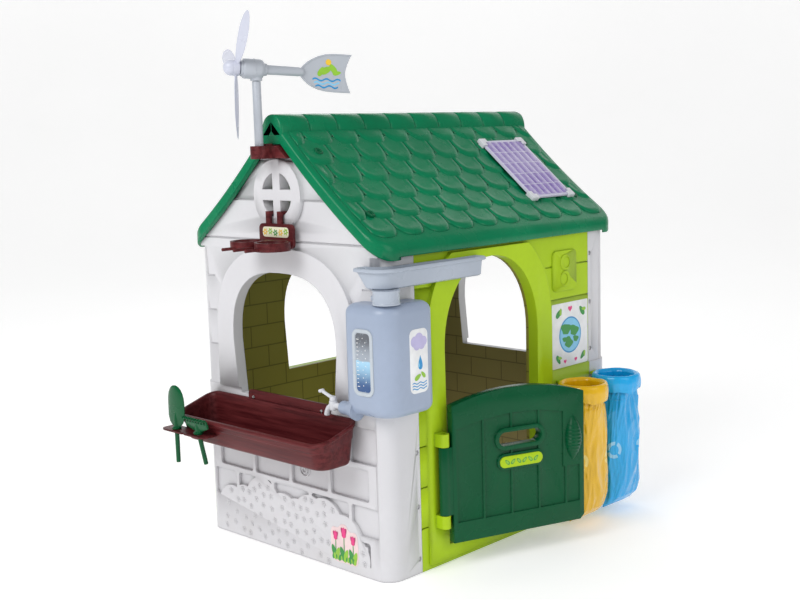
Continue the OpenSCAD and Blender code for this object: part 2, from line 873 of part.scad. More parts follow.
tap_spigot = 8;
module rain_tank() {
    color("lightsteelblue") difference() {
        union() {
            translate([0, 0, tank_low]) linear_extrude(tank_h) tank_plan(0);
            translate([half_w - tank_front + 20, tap_y, tap_z]) rotate([0, -90, 0])
                cylinder(r = 17, h = socket_l + 20);
        }
        corner_clear(tank_low - 1, tank_low + tank_h + 1, seat);
        front_band_clear(seat);
        difference() {
            translate([0, 0, tank_low + tank_t]) linear_extrude(tank_h - 2 * tank_t)
                tank_plan(tank_t);
            corner_clear(tank_low, tank_low + tank_h, seat + tank_t);
            front_band_clear(seat + tank_t);
        }
        translate([neck_x, neck_y, tank_low + tank_h / 2]) cylinder(r = neck_bore, h = tank_h);
        translate([half_w - tank_front + 21, tap_y, tap_z]) rotate([0, -90, 0])
            cylinder(r = tap_spigot, h = socket_l + 30);
    }
}

gutter_low = tank_low + tank_h + neck_h;
gutter_out = tank_out - 4;
gutter_t = 4;
gutter_lip = 7;
gutter_r = 30;
module gutter_plan(inset) {
    x1 = half_w + gutter_out - inset;
    y1 = front_y - gutter_out + 6 + inset;
    r = gutter_r - inset;
    translate([half_w - gutter_front + inset, y1])
        square([gutter_front + gutter_out - 2 * inset - r, gutter_out + wall_t]);
    translate([half_w - wall_t, y1 + r])
        square([gutter_out + wall_t - inset, gutter_side - 2 * inset + gutter_out - r - 6]);
    translate([x1 - r, y1 + r]) circle(r);
}

// Wedge that is cut from the gutter's front end, so that it flares towards its rim
module gutter_wedge(inset) {
    start = half_w - gutter_front + gutter_lip + inset;
    on_front(front_y + wall_t, wall_t + gutter_out)
        polygon([[start - 20, gutter_low - 1], [start + 32, gutter_low - 1],
                 [start, gutter_low + gutter_h - 5], [start - 20, gutter_low + gutter_h - 5]]);
}

module rain_gutter() {
    color("silver") difference() {
        union() {
            difference() {
                translate([0, 0, gutter_low]) linear_extrude(gutter_h - 5) gutter_plan(gutter_lip);
                gutter_wedge(0);
            }
            translate([0, 0, gutter_low + gutter_h - 6]) linear_extrude(6) gutter_plan(0);
            translate([neck_x, neck_y, gutter_low - neck_h]) cylinder(r = neck_r, h = neck_h + 1);
        }
        corner_clear(gutter_low - neck_h - 1, gutter_low + gutter_h + 1, seat);
        band_clear(gutter_low - neck_h - 1, gutter_low + gutter_h + 1, seat);
        difference() {
            translate([0, 0, gutter_low + gutter_t]) linear_extrude(gutter_h)
                gutter_plan(gutter_lip + gutter_t);
            corner_clear(gutter_low, gutter_low + gutter_h + 10, seat + gutter_t);
            band_clear(gutter_low, gutter_low + gutter_h + 10, seat + gutter_t);
            gutter_wedge(gutter_t);
        }
        translate([neck_x, neck_y, gutter_low - neck_h - 1]) cylinder(r = neck_bore, h = neck_h + 10);
    }
}

gauge_w = 68;
gauge_h = 162;
module tank_gauge() {
    color("whitesmoke") on_front(front_y - tank_out, 3)
        translate([half_w - 17 - gauge_w / 2, tank_low + 134 - gauge_h / 2]) rounded(gauge_w, gauge_h, 20);
}

module tank_label() {
    color("white") on_side(half_w + tank_side_out, 1) translate([front_y + 23, tank_low + 54])
        rounded(62, 155, 14);
}

// Body with a spigot in the tank's socket and a spout that slants down
module tap_body() {
    color("white") difference() {
        union() {
            translate([half_w - tank_front - socket_l + 18, tap_y, tap_z]) rotate([0, -90, 0])
                cylinder(r = tap_spigot - seat, h = 20);
            translate([half_w - tank_front - socket_l, tap_y, tap_z]) rotate([0, -90, 0])
                cylinder(r = 9, h = 33);
            translate([tap_x, tap_y, tap_z - 11]) cylinder(r = 11, h = 23);
            translate([tap_x, tap_y, tap_z]) rotate([0, -135, 0]) cylinder(r = 7, h = 38);
        }
        translate([tap_x, tap_y, tap_z]) rotate([0, -135, 0]) translate([0, 0, 18])
            cylinder(r = 4.5, h = 30);
        translate([tap_x, tap_y, tap_z + 1]) cylinder(r = 4 + pin_clear, h = 20);
    }
}

lever_rise = 17;
module tap_lever() {
    color("white") translate([tap_x, tap_y, tap_z]) {
        translate([0, 0, 2]) cylinder(r = 4, h = 14);
        translate([0, 0, 12.5]) cylinder(r = 9, h = 9);
        translate([0, 0, 18]) rotate([0, lever_rise - 90, 0]) cylinder(r = 4, h = 44);
        translate([-42, 0, 26]) cylinder(r = 8, h = 9);
    }
}

// ---- bird feeder ----

feeder_y = front_y - relief - 1;
feeder_top = 838;
feeder_x = 8;
module feeder_cups(r) {
    for (s = [-1, 1]) translate([s * cup_pitch / 2, feeder_y - 62]) circle(r);
}

// Hooks rest in the two lower panes of the round window
hook_x = 22;
hook_w = 14;
hook_low = oval_h - sqrt(oval_r * oval_r - (hook_x + hook_w / 2) * (hook_x + hook_w / 2)) + seat;

module feeder_hook() {
    translate([-hook_w / 2, 0, 0]) {
        translate([0, feeder_y - 9, feeder_top + 20])
            cube([hook_w, 9, hook_low + 8 - feeder_top - 20]);
        translate([0, feeder_y - 9, hook_low]) cube([hook_w, relief + wall_t + 18, 8]);
        translate([0, feeder_y + relief + wall_t + 3, hook_low - 14]) cube([hook_w, 6, 22]);
    }
}

module bird_feeder() {
    color("brown") difference() {
        union() {
            translate([feeder_x - 65, feeder_y, feeder_top - cup_h]) rotate([90, 0, 0])
                linear_extrude(9) rounded(130, 62, 14);
            translate([feeder_x, 0, feeder_top - cup_h]) linear_extrude(cup_h) {
                feeder_cups(cup_r + 7);
                translate([-cup_pitch / 2, feeder_y - 62]) square([cup_pitch, 60]);
            }
            for (s = [-1, 1]) translate([s * hook_x, 0, 0]) feeder_hook();
            for (x = [-45, 0, 45]) translate([feeder_x + x, feeder_y - 70, feeder_top - cup_h + 6])
                rotate([90, 0, 0]) cylinder(r = 4, h = 76);
        }
        translate([feeder_x, 0, feeder_top - cup_h + 14]) linear_extrude(cup_h)
            feeder_cups(cup_r);
    }
}

module feeder_label() {
    color("khaki") on_front(feeder_y - 9, 1)
        translate([feeder_x - 50, feeder_top + 6]) rounded(100, 26, 9);
}

// ---- wind vane ----

module bracket_front() {
    polygon([[-64, lug_low], [64, lug_low], [26, lug_high], [-26, lug_high]]);
}

module pole_bracket() {
    color("brown") difference() {
        union() {
            on_front(front_y + belt_step - seat, 26 + belt_step - seat) bracket_front();
            translate([-22, pole_y, lug_low]) cube([44, pole_out - 20, lug_high - lug_low]);
            translate([0, pole_y, lug_low]) cylinder(r = 23, h = lug_high - lug_low);
            translate([0, front_y - 29, lug_high - 1]) cylinder(r = 12, h = 6);
        }
        translate([0, pole_y, lug_low + bracket_seat]) cylinder(r = pole_r + 0.1, h = 40);
    }
}

head_sleeve = 26;
module pole() {
    color("lightgrey") translate([0, pole_y, lug_low + bracket_seat]) {
        cylinder(r = pole_r, h = head_h - head_sleeve - 4 - lug_low - bracket_seat);
        cylinder(r = spindle_r, h = head_h - lug_low - bracket_seat - 8);
    }
}

// The head is drawn with its nose along -Y and the pole's axis through its origin
module head_place() {
    translate([0, pole_y, head_h]) rotate([0, 0, head_turn]) rotate([-head_tilt, 0, 0]) children();
}

nacelle_r = 25;
blade_y = 50;
module nacelle() {
    color("lightgrey") difference() {
        union() {
            head_place() {
                translate([0, 18, 0]) rotate([90, 0, 0]) cylinder(r = nacelle_r, h = 52);
                translate([0, -33, 0]) rotate([90, 0, 0]) cylinder(r = 20, h = 7);
                translate([0, 17, 0]) rotate([-90, 0, 0]) cylinder(r = 15, h = 11);
            }
            translate([0, pole_y, head_h - head_sleeve - 3]) cylinder(r = 15, h = 20);
        }
        translate([0, pole_y, head_h - 60]) cylinder(r = spindle_r + pin_clear, h = 54);
        head_place() {
            translate([0, -10, 0]) rotate([90, 0, 0]) cylinder(r = 4 + pin_clear, h = 40);
            translate([0, 12, 0]) rotate([-90, 0, 0]) cylinder(r = 8, h = 30);
        }
    }
}

boom_l = 97;
vane_start = 108;
module tail_boom() {
    color("lightgrey") head_place() difference() {
        union() {
            translate([0, 12, 0]) rotate([-90, 0, 0]) cylinder(r = 8, h = 20);
            translate([0, 28, 0]) rotate([-90, 0, 0]) cylinder(r = 12, h = boom_l);
        }
        translate([-3, vane_start - 3, -20]) cube([6, 60, 40]);
    }
}

module vane_outline() {
    translate([vane_start, 0])
        polygon([[0, -5], [14, -20], [34, -34], [58, -43], [92, -46], [138, -46], [127, -22],
                 [120, 0], [129, 26], [140, 50], [98, 50], [62, 46], [38, 36], [16, 22], [0, 5]]);
}

module tail_vane() {
    color("lightgrey") head_place() rotate([90, 0, 90]) translate([0, 0, -2.7])
        linear_extrude(5.4) vane_outline();
}

module vane_stickers() {
    color("skyblue") head_place() for (x = [-3.7, 2.7])
        rotate([90, 0, 90]) translate([0, 0, x]) linear_extrude(1)
            translate([vane_start, 0])
                polygon([[36, -14], [62, -30], [114, -34], [107, 0], [114, 38], [66, 34], [38, 18]]);
}

module propeller_shaft() {
    color("silver") head_place() translate([0, -12, 0]) rotate([90, 0, 0])
        cylinder(r = 4, h = blade_y + 2);
}

hub_r = 20;
module propeller_hub() {
    color("whitesmoke") head_place() difference() {
        translate([0, -blade_y + 8, 0]) rotate([90, 0, 0]) rotate_extrude() {
            square([hub_r, 20]);
            translate([0, 20]) intersection() {
                circle(hub_r);
                square([hub_r + 1, hub_r - 0.2]);
            }
        }
        translate([0, -12, 0]) rotate([90, 0, 0]) cylinder(r = 4, h = blade_y + 2);
        for (a = blade_angles) rotate([0, a, 0]) translate([0, -blade_y, 0])
            rotate([0, 0, blade_pitch]) translate([-6, -3, 9]) cube([12, 6, hub_r]);
    }
}

blade_angles = [46, 166, 286];
module propeller_blades() {
    color("white") head_place() for (a = blade_angles) rotate([0, a, 0])
        translate([0, -blade_y, 0]) rotate([0, 0, blade_pitch]) rotate([90, 0, 0])
            translate([0, 0, -2.9]) linear_extrude(5.8)
                polygon([[-5.9, 9], [5.9, 9], [6, 24], [13, 48], [19, 0.5 * blade_l],
                         [20, 0.66 * blade_l], [16, 0.84 * blade_l], [8, 0.96 * blade_l],
                         [0, blade_l], [-8, 0.96 * blade_l], [-15, 0.84 * blade_l],
                         [-18, 0.66 * blade_l], [-17, 0.5 * blade_l], [-12, 48], [-6, 24]]);
}

// ---- solar panel ----

solar_lift = 15;
module solar_place() {
    translate([solar_x, solar_y, roof_z(solar_x) + solar_lift]) rotate([0, roof_angle(solar_x), 0])
        children();
}

module solar_panel() {
    color("mediumpurple") solar_place() translate([-solar_l / 2, -solar_w / 2, 0])
        cube([solar_l, solar_w, 6]);
}

// Corner clips: a lip over the panel's corner and legs down to the tiles
module solar_clips() {
    color("white") difference() {
        solar_place() for (sx = [-1, 1], sy = [-1, 1])
            translate([sx * (solar_l / 2 - 8), sy * (solar_w / 2 - 8), 0]) difference() {
                translate([-14, -14, -20]) cube([28, 28, 30]);
                translate([sx > 0 ? -30 : -8 - seat, sy > 0 ? -30 : -8 - seat, -21])
                    cube([38 + seat, 38 + seat, 27 + seat]);
                translate([sx > 0 ? -30 : 2, sy > 0 ? -30 : 2, 5]) cube([28, 28, 8]);
            }
        translate([0, roof_rear, seat]) rotate([90, 0, 0])
            linear_extrude(roof_rear - roof_front) roof_section();
    }
}

// ---- bags ----

module ring_place(i) {
    translate([ring_x, bag_y + i * bag_pitch, ring_h]) children();
}

module bag_rings() {
    color("yellowgreen") for (i = [0, 1]) ring_place(i) {
        difference() {
            rotate_extrude() translate([ring_r, 0]) circle(r = 4);
            translate([-ring_r - 20, -10, -10]) cube([22, 20, 20]);
        }
        difference() {
            translate([half_w - ring_x + seat, -14, -4]) cube([ring_x - half_w - ring_r + 6, 28, 8]);
            cylinder(r = ring_r - 3, h = 20, center = true);
        }
    }
}

// Closed soft solid: a cuff over the ring, a neck through it and a full body below
module bag() {
    neck = ring_r - 6;
    translate([0, 0, 4.6]) cylinder(r = ring_r + 4, h = 9);
    translate([0, 0, -8]) cylinder(r = neck, h = 14);
    hull() {
        translate([0, 0, -9]) cylinder(r = neck, h = 1, $fn = 32);
        translate([0, 0, -60]) scale([0.85, 1, 1]) cylinder(r = 70, h = 1, $fn = 32);
        translate([0, 0, -ring_h + bag_low + 70]) scale([0.8, 1, 1]) cylinder(r = 76, h = 1, $fn = 32);
        translate([0, 0, -ring_h + bag_low]) scale([0.25, 1, 1]) cylinder(r = 70, h = 1, $fn = 32);
    }
}

module yellow_bag() {
    color("gold") ring_place(0) bag();
}

module blue_bag() {
    color("deepskyblue") ring_place(1) bag();
}

// ---- stickers ----

module poster() {
    color("white") on_side(face_x, 1) translate([front_y + 670, 439]) square([170, 184]);
}

module tulip_sticker() {
    color("hotpink") on_front(front_y, 1) translate([150, 18]) rounded(100, 104, 20);
}

front_wall();
back_wall();
left_wall();
right_wall();
wall_screws();
roof_right();
roof_left();
roof_screws();
hinge_pins();
door_leaf();
door_plaque();
planter();
planter_screws();
trowel();
rake();
rain_gutter();
rain_tank();
tank_gauge();
tank_label();
tap_body();
tap_lever();
bird_feeder();
feeder_label();
pole_bracket();
pole();
nacelle();
tail_boom();
tail_vane();
vane_stickers();
propeller_hub();
propeller_blades();
propeller_shaft();
solar_panel();
solar_clips();
bag_rings();
yellow_bag();
blue_bag();
poster();
tulip_sticker();
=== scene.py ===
import math
import random

import bmesh
import bpy
from mathutils import Matrix, Vector, noise


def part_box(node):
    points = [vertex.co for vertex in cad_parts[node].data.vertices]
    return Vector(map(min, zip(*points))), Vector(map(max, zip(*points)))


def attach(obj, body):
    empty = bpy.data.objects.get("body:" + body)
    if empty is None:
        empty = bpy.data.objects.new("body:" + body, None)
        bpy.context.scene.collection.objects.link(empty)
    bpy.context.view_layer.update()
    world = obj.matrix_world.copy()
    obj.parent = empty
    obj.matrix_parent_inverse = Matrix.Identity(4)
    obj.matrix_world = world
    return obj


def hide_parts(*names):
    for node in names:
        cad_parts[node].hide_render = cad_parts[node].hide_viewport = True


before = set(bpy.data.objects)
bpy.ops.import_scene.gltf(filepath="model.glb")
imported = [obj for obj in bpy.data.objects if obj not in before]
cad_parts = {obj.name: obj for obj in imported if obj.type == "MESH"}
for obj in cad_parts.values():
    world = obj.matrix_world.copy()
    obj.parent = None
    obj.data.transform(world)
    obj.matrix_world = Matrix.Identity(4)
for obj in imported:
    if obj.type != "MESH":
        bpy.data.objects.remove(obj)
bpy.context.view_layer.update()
random.seed(11)


# shader wiring: a wire is an output socket that can be added, multiplied and so on
class Wire:
    def __init__(self, maker, socket):
        self.maker = maker
        self.socket = socket

    def calc(self, operation, *others):
        return self.maker.node("ShaderNodeMath", dict(enumerate((self, *others))), operation=operation)

    def __add__(self, other):
        return self.calc("ADD", other)

    def __sub__(self, other):
        return self.calc("SUBTRACT", other)

    def __mul__(self, other):
        return self.calc("MULTIPLY", other)

    def __truediv__(self, other):
        return self.calc("DIVIDE", other)

    def __neg__(self):
        return self.calc("MULTIPLY", -1.0)

    def smooth(self, low, high):
        return self.maker.node(
            "ShaderNodeMapRange", {0: self, 1: low, 2: high, 3: 0.0, 4: 1.0}, interpolation_type="SMOOTHSTEP"
        )


class Maker:
    def __init__(self, name):
        self.material = bpy.data.materials.new(name)
        self.material.use_nodes = True
        self.tree = self.material.node_tree
        self.tree.nodes.clear()
        self.output = self.tree.nodes.new("ShaderNodeOutputMaterial")
        self.bsdf = self.tree.nodes.new("ShaderNodeBsdfPrincipled")
        self.tree.links.new(self.bsdf.outputs[0], self.output.inputs[0])

    def feed(self, socket, value):
        if isinstance(value, Wire):
            self.tree.links.new(value.socket, socket)
        elif hasattr(socket.default_value, "__len__") and len(socket.default_value) == 4 and len(value) == 3:
            socket.default_value = (*value, 1.0)
        else:
            socket.default_value = value

    def node(self, kind, values=None, out=0, **settings):
        made = self.tree.nodes.new(kind)
        for key, value in settings.items():
            setattr(made, key, value)
        for place, value in (values or {}).items():
            self.feed(made.inputs[place], value)
        return Wire(self, made.outputs[out])

    def mix(self, share, first, second):
        return self.node("ShaderNodeMix", {0: share, 6: first, 7: second}, out=2, data_type="RGBA")

    def place(self, scale=(1, 1, 1)):
        spot = self.node("ShaderNodeTexCoord", out="Object")
        return self.node("ShaderNodeVectorMath", {0: spot, 1: scale}, operation="MULTIPLY")

    def cloud(self, scale, detail=4.0, stretch=(1, 1, 1), rough=0.5):
        spot = self.place(stretch)
        return self.node("ShaderNodeTexNoise", {"Vector": spot, "Scale": scale, "Detail": detail,
            "Roughness": rough})

    def axis(self, name):
        spot = self.node("ShaderNodeTexCoord", out="Object")
        return self.node("ShaderNodeSeparateXYZ", {0: spot}, out=name)

    def finish(self, **values):
        for name, value in values.items():
            self.feed(self.bsdf.inputs[name.replace("_", " ")], value)
        return self.material


def shade(color, factor):
    return tuple(min(1.0, c * factor) for c in color)


# where the walls' inner faces lie: half of the cabin's width, then its front and rear
wallThickness, houseWidth, houseDepth = 0.024, 0.720, 0.940
insideBox = {
    "half": houseWidth / 2 - wallThickness, "front": wallThickness / 2,
    "rear": houseDepth - 1.5 * wallThickness,
}


# moulded plastic: cloudy tone, fine grain, patchy sheen, edges rounded by a bevelled normal, and optional
# painted shade in grooves and on the faces inside the cabin
def plastic(name, color, rough=0.4, grain=0.12, tone=0.08, edge=0.0016, dust=0.0, shine=0.5, grooveShade=0.0,
            inside=None):
    m = Maker(name)
    patch = m.cloud(5.0, 5.0)
    fine = m.cloud(60.0, 3.0)
    base = m.mix(patch.smooth(0.3, 0.7), shade(color, 1 - tone), shade(color, 1 + tone))
    base = m.mix(fine.smooth(0.35, 0.75) * 0.35, base, shade(color, 1 - tone * 1.5))
    if dust:
        low = m.axis("Z").smooth(0.0, 0.16)
        grime = (m.cloud(14.0, 6.0).smooth(0.42, 0.7)) * (-low + 1.0) * dust
        base = m.mix(grime, base, (0.42, 0.38, 0.32))
    if inside:  # painted shade on the faces that look into the cabin: a darker colour with brick lines
        x, y, z = (m.axis(k) for k in "XYZ")
        shadedInside = (-(x.calc("ABSOLUTE").smooth(insideBox["half"], insideBox["half"] + 0.002)) + 1.0)
        shadedInside = shadedInside * y.smooth(insideBox["front"] - 0.002, insideBox["front"])
        shadedInside = shadedInside * (-(y.smooth(insideBox["rear"], insideBox["rear"] + 0.002)) + 1.0)
        wall = m.node("ShaderNodeCombineXYZ", {0: x + y, 1: z})
        bricks = m.node("ShaderNodeTexBrick", {"Vector": wall, "Scale": 1.0, "Mortar Size": 0.0022,
            "Mortar Smooth": 0.4,
                        "Brick Width": 0.125, "Row Height": 0.062}, out="Fac")
        shadedLining = m.mix(bricks, inside, shade(inside, 0.55))
        base = m.mix(shadedInside, base, shadedLining)
    # painted shade: the colour darkens in grooves and recesses that ambient occlusion finds closed in
    if grooveShade:
        openness = m.node("ShaderNodeAmbientOcclusion", {"Distance": 0.014}, out="AO", samples=4)
        base = m.mix((-(openness.smooth(0.3, 0.85)) + 1.0) * grooveShade, base, shade(color, 0.25))
    bumps = m.cloud(900.0, 2.0)
    ripple = m.cloud(9.0, 2.0)
    edges = m.node("ShaderNodeBevel", {"Radius": edge}, samples=4)
    wavy = m.node("ShaderNodeBump", {"Strength": 0.25, "Distance": 0.0016, "Height": ripple, "Normal": edges})
    normal = m.node("ShaderNodeBump", {"Strength": grain, "Distance": 0.0004, "Height": bumps,
                                       "Normal": wavy})
    gloss = (m.cloud(11.0, 6.0).smooth(0.3, 0.75)) * 0.14 + (rough - 0.05)
    return m.finish(Base_Color=base, Roughness=gloss, Normal=normal, Specular_IOR_Level=shine)


# brown plastic printed with wood grain that runs along X
def woodPlastic(name, dark, light, rough=0.34):
    m = Maker(name)
    long = m.cloud(1.0, 8.0, (5, 90, 90), 0.62)
    fine = m.cloud(1.0, 4.0, (14, 420, 420), 0.6)
    patch = m.cloud(7.0, 3.0)
    grain = long.smooth(0.38, 0.62) * 0.7 + fine.smooth(0.4, 0.62) * 0.3
    base = m.mix(grain, dark, light)
    base = m.mix(patch.smooth(0.3, 0.75) * 0.3, base, shade(dark, 1.25))
    edges = m.node("ShaderNodeBevel", {"Radius": 0.0015}, samples=4)
    normal = m.node("ShaderNodeBump", {"Strength": 0.3, "Distance": 0.0006, "Height": grain, "Normal": edges})
    return m.finish(Base_Color=base, Roughness=grain * 0.12 + rough, Normal=normal, Specular_IOR_Level=0.22)


def metal(name, color, rough):
    m = Maker(name)
    brushed = m.cloud(1.0, 5.0, (40, 40, 900))
    base = m.mix(brushed, shade(color, 0.8), color)
    return m.finish(Base_Color=base, Metallic=1.0, Roughness=brushed * 0.2 + rough)


# printed film on a sticker: ink with a faint tone and dot
def ink(name, color, rough=0.28):
    m = Maker(name)
    tone = m.cloud(40.0, 4.0).smooth(0.3, 0.7)
    dots = m.node("ShaderNodeTexVoronoi", {"Vector": m.place(), "Scale": 900.0}).smooth(0.1, 0.6)
    base = m.mix(tone, shade(color, 0.94), shade(color, 1.05))
    base = m.mix(dots * 0.06, base, shade(color, 0.8))
    return m.finish(Base_Color=base, Roughness=tone * 0.08 + rough, Coat_Weight=0.25, Coat_Roughness=0.12)


# thin glossy film with fine creases and a pale printed ring in three parts
def film(name, color, printed):
    m = Maker(name)
    uv = m.node("ShaderNodeTexCoord", out="UV")
    u = m.node("ShaderNodeSeparateXYZ", {0: uv}, out="X")
    v = m.node("ShaderNodeSeparateXYZ", {0: uv}, out="Y")
    mark = None
    for k in range(4):
        x, y = u - (0.045 + 0.113 * k), v - 0.21
        far = (x * x + y * y).calc("SQRT")
        part = (y.calc("ARCTAN2", x) * (3 / math.tau) + 1.5).calc("FRACT")
        ring = far.smooth(0.0165, 0.0172) * (-far.smooth(0.0282, 0.0289) + 1.0) * part.smooth(0.16, 0.19)
        mark = ring if mark is None else mark + ring
    tone = m.cloud(6.0, 4.0).smooth(0.3, 0.7)
    base = m.mix(tone, shade(color, 0.93), shade(color, 1.04))
    base = m.mix(mark * 0.75, base, printed)
    crease = m.cloud(26.0, 5.0, (1, 1, 0.45), 0.62)
    sharp = m.node("ShaderNodeTexVoronoi", {"Vector": m.place((1, 1, 0.5)), "Scale": 38.0}, feature="F1")
    soft = m.node("ShaderNodeBump", {"Strength": 0.4, "Distance": 0.004, "Height": crease})
    normal = m.node("ShaderNodeBump", {"Strength": 0.22, "Distance": 0.004, "Height": sharp, "Normal": soft})
    return m.finish(Base_Color=base, Roughness=tone * 0.08 + 0.2, Normal=normal, Coat_Weight=0.35,
                    Coat_Roughness=0.1)


# gauge card: grey sky over a water line that deepens to blue
def gaugeCard(name):
    m = Maker(name)
    z = m.axis("Z")
    bubbles = m.node("ShaderNodeTexVoronoi", {"Vector": m.place(), "Scale": 130.0}).smooth(0.0, 0.35)
    line = z + m.cloud(40.0, 3.0) * 0.012
    upper = m.mix(z.smooth(0.575, 0.62), (0.32, 0.36, 0.42), (0.09, 0.10, 0.12))
    lower = m.mix(z.smooth(0.50, 0.566), (0.0, 0.06, 0.22), (0.35, 0.62, 0.82))
    base = m.mix(line.smooth(0.570, 0.574), lower, upper)
    base = m.mix((-bubbles + 1.0) * 0.35, base, (0.7, 0.85, 0.95))
    return m.finish(Base_Color=base, Roughness=bubbles * 0.1 + 0.18, Coat_Weight=0.5, Coat_Roughness=0.08)


# crystalline cells under clear plastic
def solarGlass(name):
    m = Maker(name)
    flakes = m.node("ShaderNodeTexVoronoi", {"Vector": m.place(), "Scale": 150.0}, out="Color")
    tint = m.node("ShaderNodeSeparateXYZ", {0: flakes}, out="X")
    base = m.mix(tint, (0.20, 0.13, 0.42), (0.33, 0.24, 0.58))
    base = m.mix(m.cloud(9.0, 3.0).smooth(0.35, 0.7) * 0.5, base, (0.48, 0.42, 0.66))
    return m.finish(Base_Color=base, Roughness=tint * 0.08 + 0.16, Coat_Weight=0.6, Coat_Roughness=0.06)


# the groove amounts set painted shade in grooves and recesses; the inside colours are painted shade on the
# faces inside the cabin
looks = {
    "ivory": plastic("ivory", (0.68, 0.675, 0.70), 0.4, dust=0.1, edge=0.0035, tone=0.02, shine=0.3,
                     grooveShade=0.45, inside=(0.33, 0.27, 0.11)),
    "lime": plastic("lime", (0.43, 0.63, 0.012), 0.36, dust=0.1, edge=0.003, tone=0.05, shine=0.22,
                    grooveShade=0.4, inside=(0.30, 0.27, 0.05)),
    "roofGreen": plastic("roofGreen", (0.0005, 0.195, 0.080), 0.24, grain=0.08, tone=0.08, edge=0.0015,
                         shine=0.3, grooveShade=0.75),
    "roofDark": plastic("roofDark", (0.0005, 0.115, 0.045), 0.28, grain=0.08, tone=0.08, edge=0.001,
                        shine=0.25),
    "doorGreen": plastic("doorGreen", (0.0005, 0.086, 0.030), 0.27, grain=0.1, tone=0.08, edge=0.0025,
                         shine=0.22, grooveShade=0.5),
    "toolGreen": plastic("toolGreen", (0.0005, 0.092, 0.028), 0.26, edge=0.0015, shine=0.28),
    "brown": woodPlastic("brown", (0.060, 0.006, 0.008), (0.150, 0.024, 0.026)),
    "tankGrey": plastic("tankGrey", (0.34, 0.405, 0.53), 0.32, grain=0.1, edge=0.002, tone=0.04),
    "gutterGrey": plastic("gutterGrey", (0.42, 0.47, 0.55), 0.3, grain=0.1, edge=0.001, tone=0.04),
    "bezel": plastic("bezel", (0.50, 0.55, 0.60), 0.26, grain=0.08, edge=0.0006, tone=0.04),
    "poleGrey": plastic("poleGrey", (0.46, 0.49, 0.54), 0.32, edge=0.001, tone=0.04),
    "bladeWhite": plastic("bladeWhite", (0.56, 0.58, 0.68), 0.28, edge=0.0008, tone=0.03),
    "white": plastic("white", (0.70, 0.71, 0.75), 0.28, edge=0.001, tone=0.03),
    "steel": metal("steel", (0.62, 0.62, 0.63), 0.25),
    "filmYellow": film("filmYellow", (0.86, 0.50, 0.004), (0.93, 0.74, 0.22)),
    "filmBlue": film("filmBlue", (0.006, 0.40, 0.84), (0.38, 0.70, 0.93)),
    "gaugeFace": gaugeCard("gaugeFace"),
    "solarCell": solarGlass("solarCell"),
    "cellLine": plastic("cellLine", (0.62, 0.60, 0.74), 0.25, tone=0.04, edge=0.0005),
    "inkWhite": ink("inkWhite", (0.85, 0.86, 0.87)),
    "inkCream": ink("inkCream", (0.86, 0.84, 0.62)),
    "inkLilac": ink("inkLilac", (0.52, 0.48, 0.74)),
    "inkPink": ink("inkPink", (0.78, 0.03, 0.22)),
    "inkPale": ink("inkPale", (0.86, 0.66, 0.66)),
    "inkDark": ink("inkDark", (0.50, 0.01, 0.14)),
    "inkGreen": ink("inkGreen", (0.02, 0.28, 0.04)),
    "inkLeaf": ink("inkLeaf", (0.28, 0.56, 0.03)),
    "inkBlue": ink("inkBlue", (0.01, 0.28, 0.62)),
    "inkSky": ink("inkSky", (0.22, 0.58, 0.84)),
    "inkYellow": ink("inkYellow", (0.88, 0.55, 0.03)),
}


# mesh building
def sharpen(mesh, angle=38):
    mesh.shade_smooth()
    mesh.set_sharp_from_angle(angle=math.radians(angle))


def piece(name, bm, body, materials, angle=38, replaced=(), clean=True):
    if clean:
        bmesh.ops.remove_doubles(bm, verts=bm.verts, dist=1e-6)
        bmesh.ops.recalc_face_normals(bm, faces=bm.faces)
    mesh = bpy.data.meshes.new(name)
    bm.to_mesh(mesh)
    bm.free()
    for key in materials if isinstance(materials, (list, tuple)) else [materials]:
        mesh.materials.append(looks[key] if isinstance(key, str) else key)
    sharpen(mesh, angle)
    made = bpy.data.objects.new(name, mesh)
    bpy.context.scene.collection.objects.link(made)
    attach(made, body)
    if replaced:
        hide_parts(*replaced)
    return made


def loft(bm, rings, caps=(True, True), material=0, closed=True):
    rows = [[bm.verts.new(p) for p in ring] for ring in rings]
    count = len(rows[0])
    for low, high in zip(rows, rows[1:]):
        for i in range(count if closed else count - 1):
            j = (i + 1) % count
            bm.faces.new((low[i], low[j], high[j], high[i])).material_index = material
    if caps[0]:
        bm.faces.new(list(reversed(rows[0]))).material_index = material
    if caps[1]:
        bm.faces.new(rows[-1]).material_index = material
    return rows


def circlePoints(radius, count, squash=1.0):
    return [
        (radius * math.cos(math.tau * i / count), radius * squash * math.sin(math.tau * i / count))
        for i in range(count)
    ]


# a turned piece: (distance along the axis, radius) pairs
def turned(bm, profile, place=None, count=40, material=0, squash=1.0, caps=(True, True)):
    place = place or Matrix.Identity(4)
    rings = [[place @ Vector((x, y, z)) for x, y in circlePoints(r, count, squash)] for z, r in profile]
    return loft(bm, rings, caps, material)


# a round bar along a path; with hollow set, its far end is open to that radius
def tube(bm, path, radii, count=16, hollow=0.0, material=0):
    rings = []
    side = None
    for i, here in enumerate(path):
        ahead = (path[min(i + 1, len(path) - 1)] - path[max(i - 1, 0)]).normalized()
        if side is None:
            side = ahead.orthogonal().normalized()
        side = (side - ahead * side.dot(ahead)).normalized()
        other = ahead.cross(side)
        rings.append([here + (side * x + other * y) for x, y in circlePoints(radii[i], count)])
    if hollow:
        share = hollow / radii[-1]
        rings.append([path[-1] + (p - path[-1]) * share for p in rings[-1]])
        back = (path[-2] - path[-1]) * 0.8
        rings.append([p + back for p in rings[-1]])
    return loft(bm, rings, (True, True), material)


